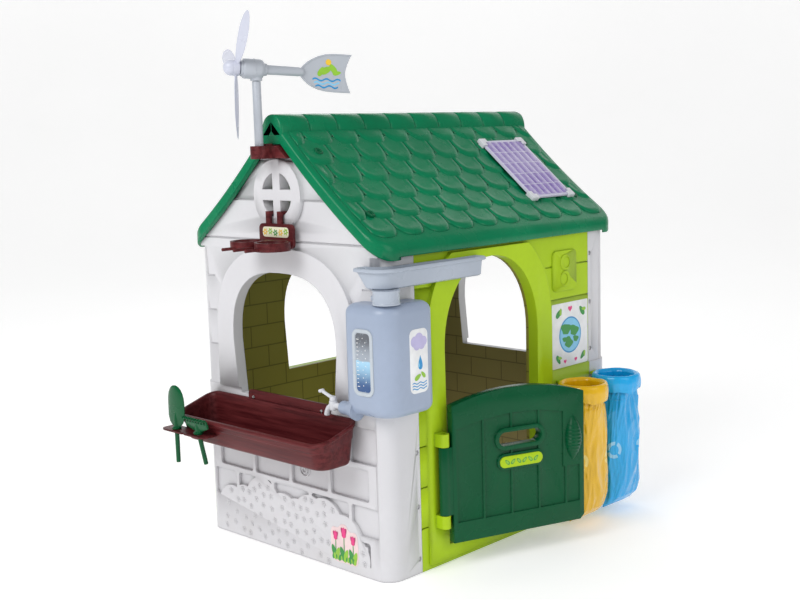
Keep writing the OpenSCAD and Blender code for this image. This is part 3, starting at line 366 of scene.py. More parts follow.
# a closed outline moved inwards by a small step
def inward(points, step):
    points = [Vector(p) for p in points]
    if not step:
        return points
    area = sum(a.x * b.y - b.x * a.y for a, b in zip(points, points[1:] + points[:1]))
    turn = 1 if area > 0 else -1
    made = []
    for i, here in enumerate(points):
        before = (here - points[i - 1]).normalized()
        after = (points[(i + 1) % len(points)] - here).normalized()
        normal = Vector((-(before.y + after.y), before.x + after.x)) * turn
        if normal.length < 1e-6:
            made.append(here.copy())
            continue
        normal.normalize()
        side = Vector((-before.y, before.x)) * turn
        made.append(here + normal * (step / max(0.5, normal.dot(side))))
    return made


# a thin plate with a rounded upper edge, drawn flat and laid by place
def slab(bm, outline, place, low, high, edge, material=0):
    levels = ((0.0, low), (0.0, high - edge), (edge * 0.3, high - edge * 0.3), (edge, high))
    rings = [[place @ Vector((p.x, p.y, h)) for p in inward(outline, inset)] for inset, h in levels]
    return loft(bm, rings, material=material)


# a printed shape: one flat face at the given height
def flatShape(bm, outline, place, height, material):
    area = sum(a[0] * b[1] - b[0] * a[1] for a, b in zip(outline, outline[1:] + outline[:1]))
    order = outline if area > 0 else list(reversed(outline))
    verts = [bm.verts.new(place @ Vector((p[0], p[1], height))) for p in order]
    bm.faces.new(verts).material_index = material


def leafShape(x, y, size, turn):
    made = []
    for k in range(24):
        a = math.tau * k / 24
        along, across = 0.5 * size * math.cos(a), 0.24 * size * math.sin(a) * (1 - 0.25 * math.cos(a))
        made.append((x + along * math.cos(turn) - across * math.sin(turn),
                     y + along * math.sin(turn) + across * math.cos(turn)))
    return made


def dropShape(x, y, size):
    made = []
    for k in range(32):
        a = math.tau * k / 32
        pinch = math.sin(a / 2) ** 1.5
        made.append((x + 0.52 * size * math.sin(a) * pinch, y + 0.85 * size * math.cos(a)))
    return made


def heartShape(x, y, size):
    made = []
    for k in range(32):
        a = math.tau * k / 32
        across = math.sin(a) ** 3
        up = (13 * math.cos(a) - 5 * math.cos(2 * a) - 2 * math.cos(3 * a) - math.cos(4 * a)) / 16
        made.append((x + size * 0.6 * across, y + size * 0.6 * up))
    return made


# smooths a closed outline by cutting its corners
def rounder(points):
    points = [Vector(p) for p in points]
    for _ in range(2):
        made = []
        for a, b in zip(points, points[1:] + points[:1]):
            made += [a.lerp(b, 0.25), a.lerp(b, 0.75)]
        points = made
    return points


def onFront(y):
    return Matrix(((1, 0, 0, 0), (0, 0, -1, y), (0, 1, 0, 0), (0, 0, 0, 1)))


def onSide(x):
    return Matrix(((0, 0, 1, x), (1, 0, 0, 0), (0, 1, 0, 0), (0, 0, 0, 1)))


# a rounded corner between three points of a plan outline
def fillet(points, radii, steps=6):
    made = []
    count = len(points)
    for i, corner in enumerate(points):
        here = Vector(corner)
        before = (Vector(points[i - 1]) - here).normalized()
        after = (Vector(points[(i + 1) % count]) - here).normalized()
        turn = before.angle(after)
        reach = radii[i] / math.tan(turn / 2)
        start = here + before * reach
        middle = here + (before + after).normalized() * (radii[i] / math.sin(turn / 2))
        first = start - middle
        sweep = math.pi - turn
        side = 1 if before.x * after.y - before.y * after.x < 0 else -1
        for k in range(steps + 1):
            made.append(middle + Matrix.Rotation(side * sweep * k / steps, 2) @ first)
    return made


# the CAD node's mesh, merged, with its sharp edges rounded
def softened(node, body, materials, width=0.0012, segments=2, angle=30, name=None):
    bm = bmesh.new()
    bm.from_mesh(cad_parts[node].data)
    bmesh.ops.remove_doubles(bm, verts=bm.verts, dist=1e-5)
    bmesh.ops.dissolve_limit(bm, angle_limit=math.radians(0.8), verts=bm.verts, edges=bm.edges)
    if width:
        sharp = [e for e in bm.edges if len(e.link_faces) == 2 and e.calc_face_angle() > math.radians(angle)]
        bmesh.ops.bevel(
            bm, geom=sharp, offset=width, offset_type="OFFSET", segments=segments, profile=0.5,
            affect="EDGES", clamp_overlap=True, material=-1,
        )
    return piece(name or node + "Skin", bm, body, materials, replaced=(node,), clean=False)


print("materials ready")

# walls keep the CAD shapes, merged
for node, key in (("front_wall", "ivory"), ("back_wall", "ivory"), ("left_wall", "lime"),
                  ("right_wall", "lime")):
    softened(node, "house", key, width=0)
print("walls ready")

# roof: a smooth rounded panel on each slope with scale tiles on it, and a segmented ridge roll
roofStyle = {
    "peak": 1.147, "sag": 0.017, "cornerRadius": 0.058, "edgeRadius": 0.014, "boardDepth": 0.04,
    "boardWidth": 0.015,
    "thickness": 0.034, "courses": 6, "firstTip": 0.078, "lastTip": 0.346, "columns": 10, "tileRise": 0.0095,
    "tipLength": 0.040, "tileGap": 0.0015, "rollHalf": 0.04, "rollTop": 1.154, "segments": 10,
}
rightLow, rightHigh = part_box("roof_right")
roofFront, roofRear, roofHalf = rightLow.y, rightHigh.y, rightHigh.x
roofEave = 0.832


def roofHeight(x):
    share = abs(x) / roofHalf
    drop = (roofStyle["peak"] - roofEave) * share + roofStyle["sag"] * 4 * share * (1 - share)
    return roofStyle["peak"] - drop


def roofSlope(x):
    return math.atan2(roofHeight(x - 0.005) - roofHeight(x + 0.005), 0.01)


def roofSlab(side):
    s = roofStyle
    bm = bmesh.new()
    r = s["edgeRadius"]
    turns = [math.radians(a) for a in (0, 15, 30, 45, 60, 75, 90)]
    stations = [0.001, 0.02] + [0.04 + 0.02 * i for i in range(14)]
    stations += [roofHalf - s["cornerRadius"] * (1 - math.sin(math.radians(a))) for a in range(0, 91, 6)]
    rings = []
    for x in stations:
        along = max(0.0, x - (roofHalf - s["cornerRadius"]))
        pull = s["cornerRadius"] - math.sqrt(max(0.0, s["cornerRadius"] ** 2 - along**2))
        near = max(0.0, x - (roofHalf - r))
        fall = r - math.sqrt(max(0.0, r * r - near * near))
        front, rear = roofFront + pull, roofRear - pull
        z = roofHeight(x) + 0.0015
        bottom = -s["boardDepth"] + min(fall * 0.3, 0.01)
        ring = [(front + r * (1 - math.sin(a)), z - fall - r * (1 - math.cos(a))) for a in reversed(turns)]
        ring += [(rear - r * (1 - math.sin(a)), z - fall - r * (1 - math.cos(a))) for a in turns]
        ring += [(rear, z + bottom + 0.003), (rear - 0.003, z + bottom), (rear - s["boardWidth"], z + bottom)]
        ring += [(rear - s["boardWidth"], z - s["thickness"] + fall * 0.5)]
        ring += [(front + s["boardWidth"], z - s["thickness"] + fall * 0.5),
                 (front + s["boardWidth"], z + bottom)]
        ring += [(front + 0.003, z + bottom), (front, z + bottom + 0.003)]
        rings.append([Vector((side * x, y, h)) for y, h in ring])
    loft(bm, rings)
    return bm


def tileOutline(top, tip, half, s):
    outline = [(top, -half), (tip - s["tipLength"], -half)]
    for k in range(1, 20):
        a = math.pi * k / 20
        across = math.copysign(abs(math.cos(a)) ** 0.8, math.cos(a))
        outline.append((tip - s["tipLength"] * (1 - math.sin(a) ** 0.8), -half * across))
    return outline + [(tip - s["tipLength"], half), (top, half)]


def roofTiles(side, bm):
    s = roofStyle
    pitch = (roofRear - roofFront - 0.03) / s["columns"]
    low, high = roofFront + 0.02, roofRear - 0.02
    step = (s["lastTip"] - s["firstTip"]) / (s["courses"] - 1)
    shape = ((0.0, -0.5), (0.0, 0.35), (0.0012, 0.66), (0.0035, 0.9), (0.0065, 1.0), (0.0105, 1.0),
             (0.015, 0.86), (0.021, 0.8))
    for course in range(s["courses"]):
        tip = s["firstTip"] + course * step
        top = max(s["rollHalf"] - 0.012, tip - step - 0.03)
        for column in range(-1, s["columns"] + 1):
            middle = roofFront + 0.015 + pitch * (column + (0.5 if course % 2 else 1.0))
            half = pitch / 2 - s["tileGap"]
            if middle + half < low + 0.01 or middle - half > high - 0.01:
                continue
            rings = []
            for inset, rise in shape:
                ring = []
                for d, w in tileOutline(top, tip, half, s):
                    share = max(0.0, (d - top) / (tip - top))
                    edge = d - inset * 1.2 * max(0.0, min(1.0, (d - tip + s["tipLength"]) / s["tipLength"]))
                    y = min(max(middle + w * (1 - inset / half), low + inset), high - inset)
                    lift = s["tileRise"] * (0.12 + 0.88 * share) * rise
                    ring.append(Vector((side * edge, y, roofHeight(edge) + lift)))
                rings.append(ring)
            loft(bm, rings, caps=(False, True))


def ridgeRoll():
    s = roofStyle
    bm = bmesh.new()
    rings = []
    length = (roofRear - roofFront) / s["segments"]
    base = roofHeight(s["rollHalf"]) - 0.006
    swells = ((0.0, -0.0055), (0.02, -0.0022), (0.06, -0.0005), (0.5, 0.0), (0.94, -0.0005), (0.98, -0.0022))
    for i in range(s["segments"]):
        for share, swell in swells:
            y = roofFront + length * (i + share)
            ring = []
            for k in range(33):
                a = math.pi * k / 32
                x = (s["rollHalf"] + swell * 0.6) * math.copysign(abs(math.cos(a)) ** 0.87, math.cos(a))
                z = base + (s["rollTop"] - base + swell) * math.sin(a) ** 0.87
                ring.append(Vector((x, y, z)))
            rings.append(ring)
    rings.append([p + Vector((0, length * 0.02, 0)) for p in rings[-1]])
    loft(bm, rings)
    for y, face in ((roofFront, 1), (roofRear, -1)):  # end plates that close the roof under the roll
        plate = fillet([(-0.033, 1.078), (0.037, 1.078), (0.037, 1.125), (-0.033, 1.125)],
                       [0.005, 0.005, 0.02, 0.02], 6)
        rings = [[Vector((p.x, y + face * d, p.y)) for p in plate] for d in (0.0005, 0.0145)]
        loft(bm, rings)
    return bm


def roofCap(bm, x, y, side, radius=0.0115):
    place = Matrix.Translation((side * x, y, roofHeight(x) + 0.005)) @ Matrix.Rotation(side * roofSlope(x),
        4, "Y")
    turned(bm, [(-0.004, radius), (0.003, radius), (0.0045, radius - 0.0015), (0.0045, radius - 0.004),
                (0.0035, radius - 0.0045), (0.0035, 0.004), (0.0015, 0.0035)], place, 28)


for side, node in ((1, "roof_right"), (-1, "roof_left")):
    bm = roofSlab(side)
    roofTiles(side, bm)
    piece(node + "Tiles", bm, "house", "roofGreen", replaced=(node,), clean=False)
piece("ridgeRoll", ridgeRoll(), "house", "roofGreen", angle=50)
bm = bmesh.new()
for x in (0.097, 0.277):
    for y in (roofFront + 0.068, roofRear - 0.078):
        for side in (-1, 1):
            roofCap(bm, x, y, side)
for y in (0.040, 0.458, 0.876):
    turned(bm, [(-0.004, 0.008), (0.001, 0.008), (0.0016, 0.0072), (0.0016, 0.0055), (0.0004, 0.005),
                (0.0004, 0.002)],
           Matrix.Translation((-0.018, y, 1.1472)) @ Matrix.Rotation(math.radians(-19), 4, "Y"), 24)
piece("roofCaps", bm, "house", "roofDark", replaced=("roof_screws",))
print("roof ready")


# planter: a rounded trough whose rim slopes down to the front
planterStyle = {"corner": 0.040, "slope": math.tan(math.radians(17)), "top": 0.403,
                "back": -0.0173, "deep": 0.130, "half": 0.29, "middle": -0.02, "base": 0.291, "foot": 0.018}


def planterRing(s, grow, share, drop=0.0):
    front = s["back"] - s["deep"] + s["foot"] * (1 - share) - grow
    back = s["back"] - 0.005 * (1 - share) + min(grow, 0.0048)
    half = s["half"] - 0.014 * (1 - share) + grow
    radius = max(0.008, s["corner"] + grow - 0.004 * (1 - share))
    backRadius = max(0.006, s["corner"] * 0.7 + grow)
    corners = [(s["middle"] - half, front), (s["middle"] + half, front), (s["middle"] + half, back),
               (s["middle"] - half, back)]
    ring = []
    for p in fillet(corners, [radius, radius, backRadius, backRadius], 10):
        rim = s["top"] + (p.y - s["back"]) * s["slope"] - drop
        ring.append(Vector((p.x, p.y, s["base"] + (rim - s["base"]) * share)))
    return ring


def planterBody(s):
    bm = bmesh.new()
    rings = [planterRing(s, -0.014, 0.0), planterRing(s, -0.006, 0.012), planterRing(s, -0.002, 0.04)]
    rings += [planterRing(s, 0.0, share) for share in (0.1, 0.5, 0.62)]
    rings += [planterRing(s, 0.0014, 0.64), planterRing(s, 0.0014, 0.92)]
    rings += [planterRing(s, 0.0014, 1.0, 0.0095), planterRing(s, 0.0034, 1.0, 0.0095),
              planterRing(s, 0.0046, 1.0, 0.008)]
    rings += [planterRing(s, 0.005, 1.0, 0.005), planterRing(s, 0.0046, 1.0, 0.002),
              planterRing(s, 0.003, 1.0, 0.0004)]
    rings += [planterRing(s, 0.0005, 1.0), planterRing(s, -0.0035, 1.0, 0.0004),
              planterRing(s, -0.006, 1.0, 0.003)]
    rings += [planterRing(s, -0.0065, share) for share in (0.9, 0.5, 0.14)]
    rings += [planterRing(s, -0.009, 0.07), planterRing(s, -0.018, 0.05)]
    loft(bm, rings)
    lip = fillet([(-0.153, 0.392), (0.167, 0.392), (0.167, 0.427), (-0.153, 0.427)],
                 [0.002, 0.002, 0.012, 0.012], 6)
    front, rear = s["back"] - 0.001, s["back"] + 0.0048
    middle = Vector((0.007, 0.41))
    rings = []
    for shrink, y in ((0.994, front), (1.0, front + 0.0012), (1.0, rear)):
        rings.append([Vector((middle.x + (p.x - middle.x) * shrink, y,
                              middle.y + (p.y - middle.y) * shrink)) for p in lip])
    loft(bm, rings)
    return bm


# tab with two round holes for the tools
def toolTab(bm):
    left, right, front, back, z, reach = -0.330, -0.143, -0.1843, -0.1355, 0.3268, 0.010
    for x in toolSpots:  # each half of the tab carries one hole
        low, high = (left, -0.231) if x < -0.231 else (-0.231, right)
        part = []
        for k in range(48):
            a = math.tau * k / 48
            away = Vector((math.cos(a), math.sin(a)))
            far = 1.0
            for axis, bounds in ((0, (low - x, high - x)), (1, (front - toolY, back - toolY))):
                if abs(away[axis]) > 1e-6:
                    far = min(far, (bounds[1] if away[axis] > 0 else bounds[0]) / away[axis])
            part.append((a, away, far))
        rings = []
        for radius, share, height in ((reach, 0, z - 0.006), (None, 1, z - 0.0055), (None, 1, z - 0.0008),
                                      (reach + 0.001, 0, z), (reach, 0, z - 0.001)):
            ring = []
            for a, away, far in part:
                if share:
                    p = Vector((x, toolY)) + away * far
                    p = nearestInside(p, left, right, front, 0.016)
                else:
                    p = Vector((x, toolY)) + away * radius
                ring.append(Vector((p.x, p.y, height)))
            rings.append(ring)
        rows = loft(bm, rings, caps=(False, False))
        for i in range(48):
            j = (i + 1) % 48
            bm.faces.new((rows[-1][i], rows[-1][j], rows[0][j], rows[0][i]))


# keeps a point inside a rectangle whose two front corners are rounded
def nearestInside(p, left, right, front, radius):
    for cornerX in (left + radius, right - radius):
        outside = p.x < cornerX if cornerX < (left + right) / 2 else p.x > cornerX
        if outside and p.y < front + radius:
            middle = Vector((cornerX, front + radius))
            away = p - middle
            if away.length > radius:
                return middle + away.normalized() * radius
    return p


toolSpots = (-0.280, -0.182)
toolY = -0.1663
bm = planterBody(planterStyle)
toolTab(bm)
piece("planterTrough", bm, "house", "brown", replaced=("planter",), clean=False)
print("planter ready")


# tools: a rounded trowel and a rake, each with a handle through the tab
def trowelTool():
    bm = bmesh.new()
    x, y, z = toolSpots[0], toolY, 0.3268
    place = Matrix.Translation((x, y, 0))
    turned(bm, [(z - 0.092, 0.004), (z - 0.0915, 0.0056), (z - 0.088, 0.006), (z - 0.003, 0.0062),
                (z + 0.0003, 0.0075),
                (z + 0.0006, 0.0125), (z + 0.004, 0.013), (z + 0.0055, 0.011), (z + 0.008, 0.0075),
                (z + 0.03, 0.0065),
                (z + 0.052, 0.003)], place, 28)
    levels = [(0.006, 0.012, 0.0), (0.010, 0.020, 0.0), (0.018, 0.029, 0.001), (0.034, 0.0355, 0.003),
              (0.055, 0.036, 0.0045)]
    levels += [(0.072 + 0.047 * math.sin(a), 0.036 * math.cos(a) ** 0.9, 0.0045 * math.cos(a)) for a in (0,
        0.3, 0.6, 0.9, 1.15, 1.35, 1.5)]
    rings = []
    for up, half, bow in levels:
        ring = []
        for face in (-1, 1):
            for k in range(11):
                t = (k / 5 - 1) * -face
                thick = 0.0019 * (1 - abs(t) ** 4 * 0.6)
                ring.append(Vector((x + half * t, y + bow * (t * t - 0.5) + face * thick, z + up)))
        rings.append(ring)
    loft(bm, rings)
    return bm


def rakeTool():
    bm = bmesh.new()
    lean = math.radians(12)
    place = Matrix.Translation((toolSpots[1], toolY, 0.3268 + 0.0032)) @ Matrix.Rotation(lean, 4, "X")
    turned(bm, [(-0.090, 0.004), (-0.0895, 0.0056), (-0.086, 0.006), (-0.002, 0.0062), (0.0, 0.0075),
                (0.0003, 0.0135),
                (0.004, 0.014), (0.0055, 0.011), (0.008, 0.008), (0.02, 0.006), (0.03, 0.003)], place, 28)
    head = fillet([(-0.008, 0.004), (0.008, 0.004), (0.046, 0.018), (0.046, 0.030), (-0.046, 0.030),
                   (-0.046, 0.018)],
                  [0.002, 0.002, 0.006, 0.003, 0.003, 0.006], 5)
    slab(bm, head, place @ Matrix.Rotation(math.radians(90), 4, "X"), -0.003, 0.003, 0.0012)
    for i in range(8):  # tines that curl forwards
        x = -0.0425 + 0.085 * i / 7
        path = [place @ Vector((x, 0.0, 0.026)), place @ Vector((x, 0.0005, 0.036)),
                place @ Vector((x, -0.002, 0.0415)),
                place @ Vector((x, -0.008, 0.044)), place @ Vector((x, -0.014, 0.0425))]
        tube(bm, path, [0.0031, 0.003, 0.0029, 0.0026, 0.0017], 10)
    return bm


piece("trowelTool", trowelTool(), "trowel_tool", "toolGreen", replaced=("trowel",))
piece("rakeTool", rakeTool(), "rake_tool", "toolGreen", replaced=("rake",))
print("tools ready")


# rain collector: outlines that wrap the house's corner
collectorStyle = {
    "tankEnd": 0.2737, "tankLow": 0.428, "tankHigh": 0.700, "tankOut": 0.052, "tankSideOut": 0.064,
    "tankRear": 0.101,
    "tankRound": 0.024, "gutterEnd": 0.297, "gutterLow": 0.734, "gutterOut": 0.042, "gutterSideOut": 0.048,
    "gutterRear": 0.326,
    "neck": (0.386, -0.024), "neckRadius": 0.033, "tapY": -0.045, "tapZ": 0.438, "tapX": 0.213,
}


def cornerOutline(frontEnd, out, sideOut, sideEnd, wall, radii, steps=10):
    frontWall = -0.0083 - (wall - 0.3563)
    points = [(frontEnd, -0.012 - out), (0.36 + sideOut, -0.012 - out), (0.36 + sideOut, sideEnd),
              (wall, sideEnd),
              (wall, frontWall), (frontEnd, frontWall)]
    return fillet(points, radii, steps)


def collectorTank(s):
    bm = bmesh.new()
    r = s["tankRound"]
    turns = [math.radians(a) for a in range(0, 91, 15)]
    levels = [(r * (1 - math.sin(a)), s["tankLow"] + r * (1 - math.cos(a))) for a in turns]
    levels += [(0.0, s["tankLow"] + 0.1), (0.0, s["tankHigh"] - 0.1)]
    levels += [(r * (1 - math.sin(a)), s["tankHigh"] - r * (1 - math.cos(a))) for a in reversed(turns)]
    rings = []
    for inset, z in levels:
        radii = [max(0.004, 0.024 - inset * 0.7), 0.052 - inset * 0.5, max(0.004, 0.024 - inset * 0.7),
                 0.004, 0.043, 0.004]
        ring = cornerOutline(s["tankEnd"] + inset, s["tankOut"] - inset, s["tankSideOut"] - inset,
                             s["tankRear"] - inset, 0.3563, radii)
        rings.append([Vector((p.x, p.y, z)) for p in ring])
    loft(bm, rings)
    away = Matrix.Translation((0.300, s["tapY"], s["tapZ"])) @ Matrix.Rotation(math.radians(-90), 4, "Y")
    turned(bm, [(0.0, 0.026), (0.012, 0.0235), (0.024, 0.019), (0.030, 0.0174), (0.050, 0.0168),
                (0.0535, 0.016),
                (0.054, 0.0145), (0.0535, 0.0098), (0.050, 0.0092)], away, 32)
    return bm


def collectorGutter(s):
    bm = bmesh.new()
    profile = [  # inset of the outline, height, and how far the front and rear ends lean in
        (0.022, 0.0, 0.040, 0.018), (0.0155, 0.0008, 0.036, 0.014), (0.0115, 0.004, 0.033, 0.010),
        (0.0085, 0.037, 0.009, 0.008),
        (0.0075, 0.0402, 0.007, 0.007), (0.0018, 0.0408, 0.0015, 0.0015), (0.0003, 0.0418, 0.0, 0.0),
        (0.0, 0.0445, 0.0, 0.0),
        (0.0006, 0.0482, 0.0006, 0.0006), (0.0028, 0.0499, 0.003, 0.003), (0.006, 0.0495, 0.006, 0.006),
        (0.0085, 0.047, 0.009, 0.009), (0.0125, 0.036, 0.014, 0.012), (0.0158, 0.0085, 0.038, 0.016),
        (0.022, 0.0045, 0.044, 0.022),
        (0.030, 0.004, 0.052, 0.030),
    ]
    rings = []
    for k, (inset, z, frontIn, rearIn) in enumerate(profile):
        wall = 0.3563 if k < 10 else 0.3603
        radii = [max(0.004, 0.018 - inset * 0.4), 0.044 - inset, max(0.004, 0.016 - inset * 0.4), 0.003,
                 0.042 + wall - 0.3563, 0.003]
        ring = cornerOutline(s["gutterEnd"] + frontIn, s["gutterOut"] - inset, s["gutterSideOut"] - inset,
                             s["gutterRear"] - rearIn, wall, radii)
        for p in ring:  # pass outside the doorway's raised band
            if p.y > 0.127 and p.x < 0.3687:
                p.x = 0.3687 + wall - 0.3563
        rings.append([Vector((p.x, p.y, s["gutterLow"] + z)) for p in ring])
    loft(bm, rings)
    neck = Matrix.Translation((*s["neck"], 0))
    r = s["neckRadius"]
    turned(bm, [(0.7003, r + 0.001), (0.7035, r + 0.001), (0.7045, r), (0.706, r - 0.0006),
                (0.729, r - 0.001), (0.7345, r + 0.001)], neck, 48)
    screw = Matrix.Translation((s["neck"][0] - 0.026, s["neck"][1] - 0.023,
                                0.716)) @ Matrix.Rotation(math.radians(-42), 4,
                                    "Z") @ Matrix.Rotation(math.radians(90), 4, "X")
    turned(bm, [(-0.004, 0.006), (0.0005, 0.006), (0.0015, 0.005), (0.0015, 0.003), (0.0002, 0.0026)],
           screw, 20)
    return bm


def gaugePlate():
    bm = bmesh.new()
    front = onFront(-0.0643)
    turns = fillet([(0.309, 0.481), (0.377, 0.481), (0.377, 0.643), (0.309, 0.643)], [0.02] * 4, 8)
    rings = []
    for inset, out in ((0.0, -0.002), (0.0, 0.0016), (0.0012, 0.0028), (0.006, 0.003), (0.0085, 0.0026),
                       (0.0105, 0.0004)):
        rings.append([front @ Vector((p.x, p.y, out)) for p in inward(turns, inset)])
    rows = loft(bm, rings, caps=(True, False))
    bm.faces.new(rows[-1]).material_index = 1
    for i in range(13):  # scale marks
        z = 0.503 + 0.0095 * i
        w = 0.008 if i % 3 == 0 else 0.005
        flatShape(bm, [(0.3225, z), (0.3225 + w, z), (0.3225 + w, z + 0.0016), (0.3225, z + 0.0016)], front,
                  0.0007, 2)
        dot = [(0.352 + x, z + 0.004 + y) for x, y in circlePoints(0.0014, 8)]
        flatShape(bm, dot if i % 2 else [(px - 0.009, py) for px, py in dot], front, 0.0007, 2)
    return bm


def tankLabel():
    bm = bmesh.new()
    side = onSide(0.4241)
    slab(bm, fillet([(0.011, 0.482), (0.073, 0.482), (0.073, 0.637), (0.011, 0.637)], [0.015] * 4, 8), side,
         0.0, 0.0008, 0.0003)
    cloud = ((0.028, 0.607, 0.0135), (0.043, 0.613, 0.0145), (0.058, 0.606, 0.012), (0.035, 0.598, 0.012),
             (0.051, 0.599, 0.012))
    for k, (x, y, r) in enumerate(cloud):
        flatShape(bm, [(x + a, y + b) for a, b in circlePoints(r, 24)], side, 0.0010 + 0.00008 * k, 1)
    flatShape(bm, dropShape(0.046, 0.556, 0.021), side, 0.0010, 2)
    flatShape(bm, dropShape(0.0405, 0.551, 0.008), side, 0.0012, 4)
    flatShape(bm, leafShape(0.036, 0.521, 0.024, 0.5), side, 0.0012, 3)
    flatShape(bm, leafShape(0.055, 0.525, 0.020, 2.3), side, 0.0013, 3)
    for k in range(3):  # waves
        wave = [(0.017 + 0.05 * t / 16, 0.494 + 0.0068 * k + 0.0018 * math.sin(t * 0.9)) for t in range(17)]
        flatShape(bm, wave + [(x, y - 0.0026) for x, y in reversed(wave)], side, 0.0010, 2)
    return bm


def tapBody(s):
    bm = bmesh.new()
    away = Matrix.Translation((0.246, s["tapY"], s["tapZ"])) @ Matrix.Rotation(math.radians(-90), 4, "Y")
    turned(bm, [(-0.012, 0.0076), (0.0, 0.0077), (0.0002, 0.0108), (0.004, 0.0112), (0.0055, 0.0104),
                (0.008, 0.0086), (0.033, 0.0084)], away, 28)
    up = Matrix.Translation((s["tapX"], s["tapY"], s["tapZ"]))
    turned(bm, [(-0.0125, 0.004), (-0.012, 0.0085), (-0.009, 0.0106), (0.009, 0.0108), (0.0112, 0.0102),
                (0.012, 0.0085), (0.012, 0.0045)], up, 32)
    x, y, z = s["tapX"], s["tapY"], s["tapZ"]
    path = [(x, z), (x - 0.009, z - 0.003), (x - 0.017, z - 0.009), (x - 0.0225, z - 0.018),
            (x - 0.0245, z - 0.027)]
    tube(bm, [Vector((a, y, b)) for a, b in path], [0.008, 0.0078, 0.0074, 0.0071, 0.0074], 20, hollow=0.0048)
    return bm


def tapLever(s):
    bm = bmesh.new()
    x, y, z = s["tapX"], s["tapY"], s["tapZ"]
    turned(bm, [(0.002, 0.0038), (0.0122, 0.0039), (0.0125, 0.0082), (0.0135, 0.009), (0.020, 0.009),
                (0.0225, 0.0078), (0.0235, 0.0045)],
           Matrix.Translation((x, y, z)), 28)
    path = [(x + 0.002, z + 0.0175), (x - 0.012, z + 0.0215), (x - 0.026, z + 0.026), (x - 0.036, z + 0.030)]
    tube(bm, [Vector((a, y, b)) for a, b in path], [0.0055, 0.0046, 0.0043, 0.0046], 16)
    knob = Matrix.Translation((x - 0.042, y, z + 0.0315)) @ Matrix.Rotation(math.radians(-14), 4, "Y")
    turned(bm, [(-0.0045, 0.004), (-0.004, 0.0068), (-0.002, 0.008), (0.0015, 0.008), (0.0035, 0.0068),
                (0.0042, 0.004)], knob, 24)
    return bm


piece("tankBody", collectorTank(collectorStyle), "house", "tankGrey", replaced=("rain_tank",))
piece("gutterTray", collectorGutter(collectorStyle), "house", "gutterGrey",
      replaced=("rain_gutter",))
piece("tankGauge", gaugePlate(), "house", ["bezel", "gaugeFace", "inkWhite"],
      replaced=("tank_gauge",), clean=False)
piece("tankLabel", tankLabel(), "house", ["inkWhite", "inkLilac", "inkBlue", "inkLeaf",
    "inkSky"],
      replaced=("tank_label",), clean=False)
piece("tapBody", tapBody(collectorStyle), "house", "white", replaced=("tap_body",))
piece("tapLever", tapLever(collectorStyle), "tap_handle", "white", replaced=("tap_lever",))
print("collector ready")


# wind vane: the nose points along -Y of its own frame
windStyle = {"turn": -27, "tilt": 4, "height": 1.264, "poleY": -0.069, "bladeY": 0.050, "pitch": 27,
             "blades": (46, 166, 286), "bladeLength": 0.180}
headPlace = Matrix.Translation((0, windStyle["poleY"],
                                windStyle["height"])) @ Matrix.Rotation(math.radians(windStyle["turn"]), 4,
                                    "Z")
headPlace = headPlace @ Matrix.Rotation(math.radians(-windStyle["tilt"]), 4, "X")
noseward = headPlace @ Matrix.Rotation(math.radians(90), 4, "X")
tailward = headPlace @ Matrix.Rotation(math.radians(-90), 4, "X")


def nacelleBody():
    bm = bmesh.new()
    turned(bm, [(-0.028, 0.009), (-0.028, 0.0135), (-0.0265, 0.0152), (-0.0200, 0.0158), (-0.0185, 0.0185),
                (-0.0165, 0.0215),
                (-0.0135, 0.0237), (-0.0095, 0.0248), (-0.005, 0.025), (0.0035, 0.025), (0.004, 0.0257),
                (0.007, 0.0257),
                (0.0075, 0.025), (0.0285, 0.025), (0.0320, 0.0244), (0.0336, 0.0228), (0.034, 0.0205),
                (0.0385, 0.0198),
                (0.0399, 0.018), (0.0399, 0.007)], noseward, 56)
    upright = Matrix.Translation((0, windStyle["poleY"], windStyle["height"]))
    turned(bm, [(-0.029, 0.012), (-0.029, 0.0138), (-0.0278, 0.015), (-0.012, 0.0152)], upright, 40,
           caps=(True, False))
    return bm


def vaneOutline():
    lower = [(0.0, -0.003), (0.006, -0.0115), (0.014, -0.0200), (0.024, -0.0285), (0.036, -0.0355),
             (0.052, -0.0415), (0.070, -0.0447),
             (0.092, -0.0460), (0.115, -0.0462)]
    rear = [(0.1378, -0.0460), (0.1315, -0.0330), (0.1265, -0.0200), (0.1225, -0.0060), (0.1215, 0.002),
            (0.1230, 0.0120),
            (0.1270, 0.0260), (0.1325, 0.0400), (0.1383, 0.0501)]
    upper = [(0.115, 0.0502), (0.090, 0.0500), (0.068, 0.0475), (0.050, 0.0420), (0.034, 0.0340),
             (0.022, 0.0262), (0.012, 0.0172),
             (0.005, 0.0092), (0.0, 0.003)]
    return [Vector((0.108 + a, b)) for a, b in lower + rear + upper]


def vanePlate():
    bm = bmesh.new()
    outline = vaneOutline()
    rings = []
    for inset, x in ((0.0042, -0.0016), (0.0034, -0.0027), (0.0009, -0.0027), (0.0, -0.0018), (0.0, 0.0018),
                     (0.0009, 0.0027),
                     (0.0034, 0.0027), (0.0042, 0.0016)):
        rings.append([headPlace @ Vector((x, p.x, p.y)) for p in inward(outline, inset)])
    loft(bm, rings)
    return bm


